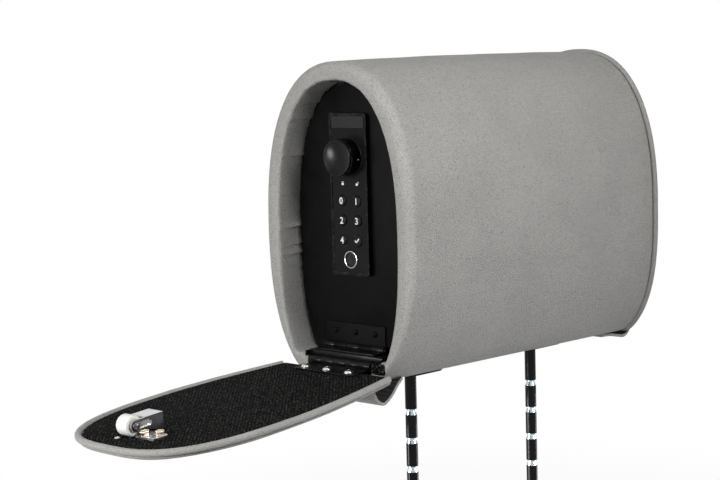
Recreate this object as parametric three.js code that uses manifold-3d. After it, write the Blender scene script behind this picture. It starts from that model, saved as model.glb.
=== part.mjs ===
// A car head restraint that hides a small safe. The padded body is open at one end, where a
// hinged leather flap covers a steel door with a keypad lock, and it stands on two notched posts.
// Millimetres. X runs along the body towards its closed end, Y across the car, Z up.
// The origin lies between the two posts on the flat underside.
import * as THREE from 'three';
import { mergeVertices } from 'three/addons/utils/BufferGeometryUtils.js';
import Module from 'manifold-3d';

const wasm = await Module();
wasm.setup();

// Clearances and counts
const fit = { touch: 0.3, slide: 0.4, overrun: 2, weld: 0.001 };
const ringPoints = 48;
const roundSides = 24;
const smallSides = 16;

// Padded body
const body = {
  near: -165,
  far: 157.2,
  halfDepth: 82.8,
  top: 256.3,
  widest: 120,
  lowest: -10,
  crown: 1.2,
  leather: 1.4,
  foamGap: 0.9,
  edgeEase: 4,
};
const bodyShape = { topPower: 2.35, lowPower: 2.4 };
const farLowPower = 2.75;
const rim = { radius: 8.5, innerPower: 6, recessDepth: 23 };
const opening = { half: 66, top: 241, floor: 18.5, lowPower: 2.7 };
const notch = { half: 46, step: 15.6, hingeHalf: 36, floor: 5, top: 23.5 };

// Steel box inside the padding
const safe = { clearance: 1, wall: 1.6, back: 150, frameDepth: 2, frameFront: -139.7 };
const frameLip = { side: 12, top: 13, under: 15, floor: 12.5 };
const mat = { thickness: 2.5, side: 26 };

// Closed end
const endPanel = { leather: 1.4, start: 152.5, side: 161, crest: 165.5, crown: 2, edge: 3.4, draw: 8.6 };
const endShares = { shoulder: 0.3, brow: 0.7 };
const piping = { radius: 2.6, inset: 0.2, sides: 8 };

// Flap hinge and door hinge
const flapHinge = { x: -162.5, z: 13.5, radius: 3.3, bore: 1.7, pin: 1.4, leaf: 1.4, half: 34, knuckles: 5 };
const doorHinge = { x: -146.5, z: 24, radius: 3, bore: 1.6, pin: 1.3, leaf: 1.4, half: 34, knuckles: 5 };
const sill = { half: 44, front: -160.5, leafFront: -158.5, leafBack: -143 };
const flapLeaf = { reach: 22.5, half: 31.5, screwAt: 16.5, screwPitch: 24.2, headRadius: 3.5, headHeight: 2.4 };
const doorLeaf = { top: 43, half: 33, rivetAt: 36, rivetPitch: 22, rivetRadius: 2.6, rivetHeight: 1.9 };

// Door and lock
const door = { front: -143.5, plate: 3 };
const doorGap = { side: 4.5, top: 4, under: 3.3, floor: 8 };
const panel = {
  half: 20.5,
  under: 12.8,
  top: 214.3,
  depth: 4,
  face: 1.5,
  wall: 1.6,
  corner: 3,
  lip: 0.6,
  lipWidth: 1.5,
};
const label = { margin: 2.7, height: 9.5, drop: 2.4, thickness: 0.5 };
const knob = { drop: 35.3, radius: 15.2, tip: 14, edge: 1.2, socket: 8, bore: 3.65, baseRadius: 15.9, base: 0.9 };
const spindle = { radius: 3.5, hole: 4.1 };
const key = {
  radius: 4.7,
  flange: 5.6,
  flangeDepth: 0.6,
  rise: 1.3,
  travel: 0.8,
  column: 8.35,
  drop: 70.8,
  row: 16,
};
const membrane = { thickness: 0.7, half: 16.5, margin: 8 };
const sensor = { drop: 118.5, outer: 7.25, inner: 5.4, rise: 0.9 };

// Works behind the door
const lockBody = { half: 31, below: 5, above: 33, depth: 23.5, wall: 1.6 };
const board = { side: 4, margin: 1, clear: 6, thickness: 1.6, chip: 1.2, chipHalf: 7, chipHeight: 10 };
const cell = { radius: 7.25, length: 48.5, nub: 2.5, nubHeight: 1.5, pitch: 14.9, count: 4, margin: 5 };
const cellWrapShare = { depth: 0.6, length: 0.45 };
const cam = { radius: 13, thickness: 3, notchDepth: 4, notchHalf: 2, crank: 7, crankRadius: 1.5, play: 0.6 };
const bolt = { front: 0.4, thickness: 4, half: 13.4, stemHalf: 6.5, plateHeight: 14, clear: 5 };
const blocker = { radius: 1.1, gap: 1.2, inside: 3.8, bodyGap: 4, margin: 2, bodyHalf: 7, bodyDepth: 11 };

// Flap, drawn shut: it stands up from its hinge axis
const flap = {
  inset: 7.1,
  drop: 0.3,
  widest: 120,
  lowest: -130,
  floor: 5,
  lining: 1.6,
  liningInset: 3.6,
  board: 4,
  boardInset: 4.6,
  skin: 1.4,
  skinRise: 1.6,
  skinEdge: 5,
  pipingRadius: 2.65,
  pipingInset: -0.3,
  pipingStart: 8,
};
const flapShape = { topPower: 2.95, lowPower: 1.5 };
const flapRest = 95;

// Roller catch on the flap
const roller = { at: 217, y: 4, radius: 7.8, width: 12, bore: 2.3, edge: 1.2 };
const bracket = {
  start: 191,
  end: 221,
  roof: 16.8,
  wall: 1.6,
  height: 15.5,
  footReach: 22,
  footStart: 205,
  footEnd: 219,
};
const slot = { start: 203.5, half: 2.4 };
const axle = { radius: 2, head: 3.2, headHeight: 1 };
const nut = { sides: 6, radius: 3.7, height: 3.4, first: 215, second: 209, firstReach: 7, secondReach: 16.5 };
const tipScrew = { at: 226.5, y: 7, radius: 2.2, height: 1.1 };
const strike = { start: -158, end: -146, half: 8, drop: 0.8, thickness: 1 };

// Posts and the rail that carries them
const post = {
  spacing: 160.7,
  radius: 5,
  bottom: -190,
  top: 14.2,
  chamfer: 1.5,
  firstNotch: -38,
  notchPitch: 24.6,
  notchCount: 6,
  neck: 3.75,
  neckLength: 1.5,
  flare: 3.5,
  travel: 11,
};
const rail = { start: -104, end: 130, half: 15, wall: 2, top: 17.2, floor: 2, lip: 1.7, lipHalf: 22, mouth: 8 };
const carriage = { half: 11, bore: 5.2 };
const slotPlate = { beyond: 20.5, half: 21, bottom: -5.8, corner: 6, mouth: 5.8, collar: 1.5 };

// Leather tails under the body
const tail = { thickness: 1.8, half: 46, near: 48 };
const nearLoop = { setback: 31, run: 40, depth: 16 };
const nearLoopShares = [
  [0, 0], [0.325, 0.1875], [0.575, 0.70625], [0.775, 0.9], [0.95, 0.6625], [1.055, 0.2], [1.095, 0],
];
const farCurl = { setback: 30.2, run: 40, rise: 10 };
const farCurlShares = [[0, 0], [0.3, -0.05], [0.575, -0.27], [0.85, -0.4], [1.05, 0.05], [1.17, 0.85]];

// Colours, roughness and metalness of the materials
const finishes = {
  leather: [0x96948f, 0.55, 0],
  foam: [0xd8d2b8, 0.95, 0],
  blackSteel: [0x17181a, 0.45, 0.6],
  satinBlack: [0x101113, 0.5, 0.2],
  blackPlastic: [0x1b1c1e, 0.6, 0],
  nickel: [0xc9c8c4, 0.25, 1],
  chrome: [0x8d9093, 0.12, 1],
  zinc: [0xb9bcc0, 0.35, 1],
  brassPlate: [0xc2b083, 0.3, 1],
  carpet: [0x1a1a1b, 0.97, 0],
  board: [0x1f5a38, 0.6, 0],
  cellWrap: [0x2f4a8c, 0.4, 0.2],
  nylon: [0xf1f0ec, 0.45, 0],
  rubber: [0x26272a, 0.9, 0],
  ply: [0xb79b6c, 0.8, 0],
};

const scene = new THREE.Group();

function node(parent, name, geometry, finish) {
  const [color, roughness, metalness] = finishes[finish];
  const mesh = new THREE.Mesh(geometry, new THREE.MeshStandardMaterial({ color, roughness, metalness }));
  mesh.name = name;
  parent.add(mesh);
}

// Solids and booleans
function bareCopy(geometry) {
  const bare = geometry.clone();
  bare.deleteAttribute('normal');
  bare.deleteAttribute('uv');
  return mergeVertices(bare, fit.weld);
}

function toSolid(geometry) {
  const bare = bareCopy(geometry);
  return new wasm.Manifold(new wasm.Mesh({
    numProp: 3,
    vertProperties: new Float32Array(bare.attributes.position.array),
    triVerts: new Uint32Array(bare.index.array),
  }));
}

function toGeometry(solid) {
  const mesh = solid.getMesh();
  return surface(Array.from(mesh.vertProperties), Array.from(mesh.triVerts));
}

function cut(geometry, ...tools) {
  return toGeometry(tools.reduce((left, tool) => left.subtract(toSolid(tool)), toSolid(geometry)));
}

function join(...parts) {
  return toGeometry(parts.map(toSolid).reduce((all, part) => all.add(part)));
}

function surface(vertices, faces) {
  const geometry = new THREE.BufferGeometry();
  geometry.setAttribute('position', new THREE.Float32BufferAttribute(vertices, 3));
  geometry.setIndex(faces);
  geometry.computeVertexNormals();
  return geometry;
}

// Turns a closed surface inside out if its faces look inwards
function outward(geometry) {
  const point = geometry.attributes.position;
  const order = Array.from(geometry.index.array);
  const [a, b, c] = [new THREE.Vector3(), new THREE.Vector3(), new THREE.Vector3()];
  let volume = 0;
  for (let i = 0; i < order.length; i += 3) {
    a.fromBufferAttribute(point, order[i]);
    b.fromBufferAttribute(point, order[i + 1]);
    c.fromBufferAttribute(point, order[i + 2]);
    volume += a.dot(b.cross(c));
  }
  if (volume > 0) return geometry;
  for (let i = 0; i < order.length; i += 3) [order[i + 1], order[i + 2]] = [order[i + 2], order[i + 1]];
  return surface(Array.from(point.array), order);
}

function block([x0, x1], [y0, y1], [z0, z1]) {
  return new THREE.BoxGeometry(x1 - x0, y1 - y0, z1 - z0)
    .translate((x0 + x1) / 2, (y0 + y1) / 2, (z0 + z1) / 2);
}

const along = {
  x: (x, y, z) => [x, y, z],
  y: (y, x, z) => [x, y, z],
  z: (z, x, y) => [x, y, z],
};

// A round rod from `from` to `to` along one axis, through the place given by its two other coordinates
function rod(axis, radius, from, to, u = 0, v = 0, sides = roundSides) {
  const geometry = new THREE.CylinderGeometry(radius, radius, to - from, sides);
  if (axis === 'x') geometry.rotateZ(-Math.PI / 2);
  if (axis === 'z') geometry.rotateX(Math.PI / 2);
  return geometry.translate(...along[axis]((from + to) / 2, u, v));
}

// A solid turned about X, through (y, z), from a profile of [x, radius]
function turnedX(profile, y = 0, z = 0, sides = roundSides) {
  const points = profile.map(([x, radius]) => new THREE.Vector2(radius, x));
  const lathe = new THREE.LatheGeometry(points, sides).rotateZ(-Math.PI / 2).translate(0, y, z);
  return outward(bareCopy(lathe));
}

function turnedZ(profile, x, sides = roundSides) {
  const points = profile.map(([z, radius]) => new THREE.Vector2(radius, z));
  const lathe = new THREE.LatheGeometry(points, sides).rotateX(Math.PI / 2).translate(x, 0, 0);
  return outward(bareCopy(lathe));
}

// Runs a height smoothly into a flat floor
function settle(z, floor, ease) {
  const above = z - floor;
  if (above >= ease) return z;
  if (above <= -ease) return floor;
  return floor + (above + ease) ** 2 / (4 * ease);
}

// One point of an oval that is a superellipse above and below its widest height
function ovalPoint(oval, turn) {
  const across = Math.cos(turn);
  const up = Math.sin(turn);
  const power = up > 0 ? oval.topPower : oval.lowPower;
  const reach = up > 0 ? oval.top - oval.widest : oval.widest - oval.lowest;
  const y = oval.half * Math.sign(across) * Math.abs(across) ** (2 / power);
  const z = oval.widest + reach * Math.sign(up) * Math.abs(up) ** (2 / power);
  return [y, settle(z, oval.floor, oval.ease)];
}

// The oval's outline in even steps, from the middle of its floor
function outline(oval, count = ringPoints) {
  const fine = count * 12;
  const turnAt = (i) => (i / fine) * 2 * Math.PI - Math.PI / 2;
  const dense = Array.from({ length: fine + 1 }, (_, i) => ovalPoint(oval, turnAt(i)));
  const run = [0];
  for (let i = 1; i <= fine; i += 1) {
    run.push(run[i - 1] + Math.hypot(dense[i][0] - dense[i - 1][0], dense[i][1] - dense[i - 1][1]));
  }
  const points = [];
  let at = 0;
  for (let i = 0; i < count; i += 1) {
    const want = (i / count) * run[fine];
    while (run[at + 1] < want) at += 1;
    const share = (want - run[at]) / (run[at + 1] - run[at]);
    points.push(dense[at].map((value, k) => value + (dense[at + 1][k] - value) * share));
  }
  return points;
}

function inset(oval, amount) {
  return {
    ...oval,
    half: oval.half - amount,
    top: oval.top - amount,
    lowest: oval.lowest + amount,
    floor: oval.floor + amount,
  };
}

function between(first, second, share) {
  return Object.fromEntries(Object.keys(first).map((k) => [k, first[k] + (second[k] - first[k]) * share]));
}

const ring = (x, oval) => outline(oval).map(([y, z]) => [x, y, z]);

// Skins a run of rings: closed on itself, or capped at both ends
function loft(rings, capped = false) {
  const around = rings[0].length;
  const vertices = rings.flat();
  const faces = [];
  const spans = capped ? rings.length - 1 : rings.length;
  for (let i = 0; i < spans; i += 1) {
    const here = i * around;
    const next = ((i + 1) % rings.length) * around;
    for (let j = 0; j < around; j += 1) {
      const k = (j + 1) % around;
      faces.push(here + j, next + j, next + k, here + j, next + k, here + k);
    }
  }
  const cap = (first, flip) => {
    const edge = vertices.slice(first, first + around);
    const middle = [0, 1, 2].map((axis) => edge.reduce((sum, point) => sum + point[axis], 0) / around);
    const centre = vertices.push(middle) - 1;
    for (let j = 0; j < around; j += 1) {
      const k = (j + 1) % around;
      faces.push(centre, first + (flip ? k : j), first + (flip ? j : k));
    }
  };
  if (capped) {
    cap(0, false);
    cap((rings.length - 1) * around, true);
  }
  return outward(surface(vertices.flat(), faces));
}

const plate = (x0, x1, oval) => loft([ring(x0, oval), ring(x1, oval)], true);

// A strip of leather of even thickness along a path of [x, z]
function strip(path, half, thickness, steps) {
  const curve = new THREE.CatmullRomCurve3(path.map(([x, z]) => new THREE.Vector3(x, 0, z)));
  const upper = [];
  const lower = [];
  for (let i = 0; i <= steps; i += 1) {
    const at = curve.getPointAt(i / steps);
    const way = curve.getTangentAt(i / steps);
    const [side, rise] = [-way.z * thickness / 2, way.x * thickness / 2];
    upper.push(new THREE.Vector2(at.x + side, at.z + rise));
    lower.unshift(new THREE.Vector2(at.x - side, at.z - rise));
  }
  const shape = new THREE.Shape([...upper, ...lower]);
  return new THREE.ExtrudeGeometry(shape, { depth: 2 * half, bevelEnabled: false, curveSegments: 1 })
    .rotateX(Math.PI / 2)
    .translate(0, half, 0);
}

// Outlines across the body
const outerOval = {
  half: body.halfDepth,
  top: body.top,
  widest: body.widest,
  lowest: body.lowest,
  floor: 0,
  ease: body.edgeEase,
  ...bodyShape,
};
const openingOval = {
  ...outerOval,
  half: opening.half,
  top: opening.top,
  floor: opening.floor,
  lowPower: opening.lowPower,
};
const farOval = { ...outerOval, lowPower: farLowPower };
const tubeOval = inset(openingOval, -safe.clearance);
const mouthTop = opening.top - frameLip.top;
const recessEnd = body.near + rim.recessDepth;
const rimStart = body.near + rim.radius;

// The sleeve of padding, `offset` below its surface: bulging along its length
function sideRing(x, offset) {
  const half = (body.far - rimStart) / 2;
  const bulge = body.crown * (1 - ((x - rimStart - half) / half) ** 2);
  const outer = between(outerOval, farOval, (x - rimStart) / (body.far - rimStart));
  const oval = between(outer, openingOval, offset / (2 * rim.radius));
  return ring(x, { ...oval, half: oval.half + bulge, top: oval.top + bulge });
}

// and over the rim, from the outside at turn 0 to the recess at turn PI: round outside, tight inside
function rimRing(offset, turn, x = null) {
  const keep = (rim.radius - offset) / rim.radius;
  const power = turn > Math.PI / 2 ? rim.innerPower : 2;
  const eased = (value) => Math.sign(value) * Math.abs(value) ** (2 / power);
  const oval = between(outerOval, openingOval, (1 - keep * eased(Math.cos(turn))) / 2);
  return ring(x ?? rimStart - (rim.radius - offset) * eased(Math.sin(turn)), oval);
}

function sleeve(offset, farEnd, steps, stations) {
  const stationAt = (i) => farEnd + (rimStart - farEnd) * (i / stations);
  const side = Array.from({ length: stations }, (_, i) => sideRing(stationAt(i), offset));
  const over = Array.from({ length: steps + 1 }, (_, i) => rimRing(offset, (i / steps) * Math.PI));
  return [...side, ...over];
}

const postPlaces = { near: -post.spacing / 2, far: post.spacing / 2 };

function paddedBody() {
  const notchDepth = [body.near - fit.overrun, safe.frameFront];
  const hingeNotch = join(
    block(notchDepth, [-notch.half, notch.half], [notch.step, notch.top]),
    block(notchDepth, [-notch.hingeHalf, notch.hingeHalf], [notch.floor, notch.step + fit.touch]),
  );
  const postMouths = Object.values(postPlaces).map((x) => block(
    [x - post.travel - rail.mouth, x + post.travel + rail.mouth],
    [-rail.mouth, rail.mouth],
    [-fit.overrun, body.leather + fit.overrun],
  ));
  const skinRings = [
    ...sleeve(0, body.far, 6, 5),
    rimRing(0, Math.PI, recessEnd),
    rimRing(body.leather, Math.PI, recessEnd),
    ...sleeve(body.leather, body.far, 4, 5).reverse(),
  ];
  node(scene, 'cover_wrap', cut(loft(skinRings), hingeNotch, ...postMouths), 'leather');

  const under = body.leather + body.foamGap;
  const around = inset(tubeOval, -fit.touch);
  const foamRings = [
    ...sleeve(under, safe.back, 4, 4),
    rimRing(under, Math.PI, recessEnd),
    ring(recessEnd + fit.touch, around),
    ring(safe.back, around),
  ];
  const trough = join(
    block(
      [rail.start - fit.touch, rail.end + fit.touch],
      [-rail.half - fit.touch, rail.half + fit.touch],
      [-fit.overrun, rail.top + fit.overrun],
    ),
    block(
      [rail.start - fit.touch, rail.end + fit.touch],
      [-rail.lipHalf - fit.touch, rail.lipHalf + fit.touch],
      [-fit.overrun, rail.floor + rail.lip + fit.touch],
    ),
  );
  node(scene, 'foam_pad', cut(loft(foamRings), hingeNotch, trough), 'foam');
}

function closedEnd() {
  const seam = { ...farOval, floor: piping.radius };
  const at = (x, depth) => ring(x, inset(seam, depth));
  const edge = endPanel.edge;
  const draw = endPanel.draw;
  const { leather, start, side, crest, crown } = endPanel;
  const { shoulder, brow } = endShares;
  const wide = body.halfDepth;
  node(scene, 'far_end_panel', loft([
    at(crest + crown - leather, wide * brow),
    at(crest - leather, draw + leather),
    at(side, edge + leather),
    at(start, edge + leather),
    at(start, edge),
    at(side, edge),
    at(side + (crest - side) * brow, edge + (draw - edge) * shoulder),
    at(crest, draw),
    at(crest + crown, wide * brow),
  ], true), 'leather');
  const pad = leather + fit.touch;
  node(scene, 'end_foam', loft([
    at(safe.back + safe.wall + fit.touch, edge + pad),
    at(side - fit.touch, edge + pad),
    at(crest - pad - fit.touch, draw + pad + fit.touch),
    at(crest + crown - pad - fit.touch, wide * brow),
  ], true), 'foam');
  const middle = body.far + fit.touch + piping.radius;
  const turns = Array.from({ length: piping.sides }, (_, i) => (i / piping.sides) * 2 * Math.PI);
  node(scene, 'far_piping', loft(turns.map((turn) => at(
    middle + piping.radius * Math.sin(turn),
    piping.inset - piping.radius * Math.cos(turn),
  ))), 'leather');
  const curl = farCurlShares.map(([out, up]) => [
    body.far - farCurl.setback + out * farCurl.run,
    up * farCurl.rise - tail.thickness / 2 - fit.touch,
  ]);
  node(scene, 'far_tail', strip(curl, tail.half, tail.thickness, 14), 'leather');
}

function steelBox() {
  const mouth = {
    ...tubeOval,
    half: opening.half - frameLip.side,
    top: mouthTop,
    lowest: body.lowest + frameLip.under,
    floor: opening.floor + frameLip.floor,
  };
  const inner = inset(tubeOval, safe.wall);
  const tubeStart = safe.frameFront + safe.frameDepth;
  node(scene, 'front_frame', loft([
    ring(safe.frameFront, tubeOval),
    ring(tubeStart, tubeOval),
    ring(tubeStart, mouth),
    ring(safe.frameFront, mouth),
  ]), 'blackSteel');
  node(scene, 'safe_body', loft([
    ring(safe.back, inner),
    ring(tubeStart, inner),
    ring(tubeStart, tubeOval),
    ring(safe.back + safe.wall, tubeOval),
  ], true), 'blackSteel');
  const floor = tubeOval.floor + safe.wall;
  node(scene, 'interior_mat', block(
    [tubeStart + fit.touch, safe.back - fit.touch],
    [mat.side - opening.half, opening.half - mat.side],
    [floor + fit.touch, floor + fit.touch + mat.thickness],
  ), 'carpet');
  node(scene, 'sill_bar', block(
    [sill.front, safe.frameFront],
    [-sill.half, sill.half],
    [flapHinge.z + flapHinge.radius, doorHinge.z - doorHinge.radius],
  ), 'blackSteel');
  node(scene, 'catch_strike', block(
    [strike.start, strike.end],
    [-strike.half, strike.half],
    [opening.top - strike.drop - strike.thickness, opening.top - strike.drop],
  ), 'zinc');
}

// One half of a butt hinge about the origin along Y: its knuckles and a leaf
function hingeHalf(hinge, first, leafBlock) {
  const step = (2 * hinge.half) / hinge.knuckles;
  const barrel = (radius, from, to) => rod('y', radius, from, to, hinge.x, hinge.z, smallSides);
  const parts = [leafBlock];
  for (let i = first; i < hinge.knuckles; i += 2) {
    const from = -hinge.half + i * step;
    parts.push(barrel(hinge.radius, from, from + step - fit.touch));
  }
  const gaps = [];
  for (let i = 1 - first; i < hinge.knuckles; i += 2) {
    const from = -hinge.half + i * step;
    gaps.push(barrel(hinge.radius + fit.touch, from - fit.touch, from + step));
  }
  const reach = hinge.half + fit.overrun;
  return cut(join(...parts), ...gaps, barrel(hinge.bore, -reach, reach));
}

function hingePin(hinge) {
  return rod('y', hinge.pin, -hinge.half, hinge.half - fit.touch, hinge.x, hinge.z, smallSides);
}

function fixedHinges() {
  const leafTop = flapHinge.z + flapHinge.radius;
  node(scene, 'flap_frame_leaf', hingeHalf(flapHinge, 0, block(
    [flapHinge.x, sill.leafBack], [-flapLeaf.half, flapLeaf.half], [leafTop - flapHinge.leaf, leafTop],
  )), 'blackSteel');
  node(scene, 'flap_hinge_pin', hingePin(flapHinge), 'blackSteel');
  const leafFloor = doorHinge.z - doorHinge.radius;
  node(scene, 'door_sill_leaf', hingeHalf(doorHinge, 0, block(
    [sill.leafFront, doorHinge.x], [-doorLeaf.half, doorLeaf.half], [leafFloor, leafFloor + doorHinge.leaf],
  )), 'blackSteel');
  node(scene, 'door_hinge_pin', hingePin(doorHinge), 'blackSteel');
}

const rows = (pitch, count) => Array.from({ length: count }, (_, i) => (i - (count - 1) / 2) * pitch);

function doorPlate() {
  const back = door.front + door.plate;
  const leafFront = door.front - doorHinge.leaf;
  const oval = {
    ...outerOval,
    half: opening.half - doorGap.side,
    top: opening.top - doorGap.top,
    lowest: body.lowest + doorGap.under,
    floor: opening.floor + doorGap.floor,
  };
  const rivetY = rows(doorLeaf.rivetPitch, 3);
  const rivetBore = doorLeaf.rivetRadius / 2 + fit.touch;
  const rivetHoles = rivetY.map((y) => rod(
    'x', rivetBore, leafFront - fit.overrun, back + fit.overrun, y, doorLeaf.rivetAt, smallSides,
  ));
  node(scene, 'door_plate', cut(
    plate(door.front, back, oval),
    rod('x', spindle.hole, door.front - fit.overrun, back + fit.overrun, 0, knobZ),
    ...rivetHoles,
  ), 'satinBlack');
  const rivet = (y) => turnedX([
    [leafFront - doorLeaf.rivetHeight, 0],
    [leafFront - doorLeaf.rivetHeight * 0.8, doorLeaf.rivetRadius * 0.6],
    [leafFront, doorLeaf.rivetRadius],
    [leafFront, doorLeaf.rivetRadius / 2],
    [back, doorLeaf.rivetRadius / 2],
    [back, 0],
  ], y, doorLeaf.rivetAt, smallSides);
  const leaf = hingeHalf(doorHinge, 1, block(
    [leafFront, door.front], [-doorLeaf.half, doorLeaf.half], [doorHinge.z, doorLeaf.top],
  ));
  node(scene, 'door_leaf', join(leaf, ...rivetY.map(rivet)), 'blackSteel');
}

const panelFace = door.front - panel.depth;
const knobZ = panel.top - knob.drop;
const keyTop = panel.top - key.drop;
const sensorZ = panel.top - sensor.drop;
const panelBottom = sensorZ - panel.under;
const keyNames = ['key_0', 'key_1', 'key_2', 'key_3', 'key_4', 'key_ok'];
const keyPlaces = keyNames.map((name, i) => ({
  name,
  y: i % 2 ? -key.column : key.column,
  z: keyTop - key.row * Math.floor(i / 2),
}));

// A slab along X with rounded corners in the YZ plane
function roundedSlab([x0, x1], half, [z0, z1], corner) {
  const shape = new THREE.Shape();
  shape.moveTo(-half + corner, z0);
  shape.lineTo(half - corner, z0);
  shape.absarc(half - corner, z0 + corner, corner, -Math.PI / 2, 0);
  shape.absarc(half - corner, z1 - corner, corner, 0, Math.PI / 2);
  shape.absarc(-half + corner, z1 - corner, corner, Math.PI / 2, Math.PI);
  shape.absarc(-half + corner, z0 + corner, corner, Math.PI, 1.5 * Math.PI);
  const slab = new THREE.ExtrudeGeometry(shape, { depth: x1 - x0, bevelEnabled: false, curveSegments: 4 });
  return slab.applyMatrix4(new THREE.Matrix4().set(0, 0, 1, x0, 1, 0, 0, 0, 0, 1, 0, 0, 0, 0, 0, 1));
}

function lockFront() {
  const through = [panelFace - fit.overrun, door.front + fit.overrun];
  const inside = panel.half - panel.wall;
  const flangeFront = panelFace + panel.face + fit.touch / 2;
  const matFront = flangeFront + key.flangeDepth + key.travel + fit.touch / 2;
  node(scene, 'lock_panel', cut(
    join(
      roundedSlab([panelFace, door.front], panel.half, [panelBottom, panel.top], panel.corner),
      cut(
        roundedSlab([panelFace - panel.lip, panelFace], panel.half, [panelBottom, panel.top], panel.corner),
        roundedSlab(
          [panelFace - fit.overrun, panelFace + fit.overrun],
          panel.half - panel.lipWidth,
          [panelBottom + panel.lipWidth, panel.top - panel.lipWidth],
          panel.corner - panel.lipWidth,
        ),
      ),
    ),
    block(
      [panelFace + panel.face, through[1]],
      [-inside, inside],
      [panelBottom + panel.wall, knobZ - knob.radius],
    ),
    rod('x', spindle.hole, ...through, 0, knobZ),
    rod('x', sensor.outer + fit.touch, ...through, 0, sensorZ),
    ...keyPlaces.map(({ y, z }) => rod('x', key.radius + fit.touch, ...through, y, z, smallSides)),
  ), 'blackPlastic');
  node(scene, 'label_plate', block(
    [panelFace - label.thickness, panelFace],
    [label.margin - panel.half, panel.half - label.margin],
    [panel.top - label.drop - label.height, panel.top - label.drop],
  ), 'blackPlastic');
  node(scene, 'keypad_membrane', block(
    [matFront, door.front],
    [-membrane.half, membrane.half],
    [keyTop - 2 * key.row - membrane.margin, keyTop + membrane.margin],
  ), 'rubber');
  keyPlaces.forEach(({ name, y, z }) => node(scene, name, turnedX([
    [panelFace - key.rise, 0],
    [panelFace - key.rise * 0.85, key.radius * 0.55],
    [panelFace - key.rise * 0.4, key.radius * 0.9],
    [panelFace, key.radius],
    [flangeFront, key.radius],
    [flangeFront, key.flange],
    [flangeFront + key.flangeDepth, key.flange],
    [flangeFront + key.flangeDepth, 0],
  ], y, z, smallSides), 'blackPlastic'));
  node(scene, 'sensor_ring', turnedX([
    [panelFace - sensor.rise, sensor.inner],
    [panelFace - sensor.rise, sensor.outer - fit.touch],
    [panelFace, sensor.outer],
    [door.front - fit.touch, sensor.outer],
    [door.front - fit.touch, sensor.inner],
    [panelFace - sensor.rise, sensor.inner],
  ], 0, sensorZ), 'chrome');
  const pad = rod('x', sensor.inner - fit.touch, panelFace, door.front - fit.touch, 0, sensorZ);
  node(scene, 'sensor_pad', pad, 'blackPlastic');
  node(scene, 'knob_base', turnedX([
    [panelFace - knob.base, spindle.hole],
    [panelFace - knob.base, knob.baseRadius - knob.base],
    [panelFace, knob.baseRadius],
    [panelFace, spindle.hole],
    [panelFace - knob.base, spindle.hole],
  ], 0, knobZ), 'blackPlastic');
}

// The knob, its spindle and the cam that lifts the bolt all turn together
function lockTurn() {
  const tip = panelFace - knob.tip;
  const knobBack = panelFace - knob.base - fit.touch;
  const socketEnd = knobBack - knob.socket;
  node(scene, 'knob', turnedX([
    [tip, 0],
    [tip, knob.radius - knob.edge],
    [tip + knob.edge * 0.3, knob.radius - knob.edge * 0.3],
    [tip + knob.edge, knob.radius],
    [knobBack, knob.radius],
    [knobBack, knob.bore],
    [socketEnd, knob.bore],
    [socketEnd, 0],
  ], 0, knobZ, 36), 'satinBlack');
  const camFront = door.front + door.plate + 2 * fit.touch;
  const camBack = camFront + cam.thickness;
  const shaft = rod('x', spindle.radius, socketEnd + fit.touch, camFront - fit.touch, 0, knobZ);
  node(scene, 'knob_spindle', shaft, 'zinc');
  const notchDepth = cam.radius - cam.notchDepth;
  node(scene, 'lock_cam', cut(
    join(
      rod('x', cam.radius, camFront, camBack, 0, knobZ, 36),
      rod('x', cam.crankRadius, camFront, camBack + bolt.thickness, cam.crank, knobZ - cam.crank, smallSides),
    ),
    block([camFront - fit.overrun, camBack + fit.overrun],
      [notchDepth, cam.radius + fit.overrun], [knobZ - cam.notchHalf, knobZ + cam.notchHalf]),
    block([camFront - fit.overrun, camBack + fit.overrun],
      [-cam.notchHalf, cam.notchHalf], [knobZ - cam.radius - fit.overrun, knobZ - notchDepth]),
  ), 'zinc');
  const boltFront = camBack + bolt.front;
  const boltSpan = [boltFront, boltFront + bolt.thickness];
  const crankZ = knobZ - cam.crank;
  const crankReach = Math.hypot(cam.crank, cam.crank);
  const slack = cam.crankRadius + cam.play;
  node(scene, 'lock_bolt', cut(
    join(
      block(
        boltSpan,
        [-bolt.half, bolt.half],
        [crankZ - bolt.plateHeight / 2, crankZ + bolt.plateHeight / 2],
      ),
      block(boltSpan, [-bolt.stemHalf, bolt.stemHalf], [crankZ, mouthTop - bolt.clear]),
    ),
    block([boltFront - fit.overrun, boltSpan[1] + fit.overrun],
      [cam.crank - slack, crankReach + slack], [crankZ - slack, crankZ + slack]),
  ), 'zinc');
  return { camFront, boltSpan };
}

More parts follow.
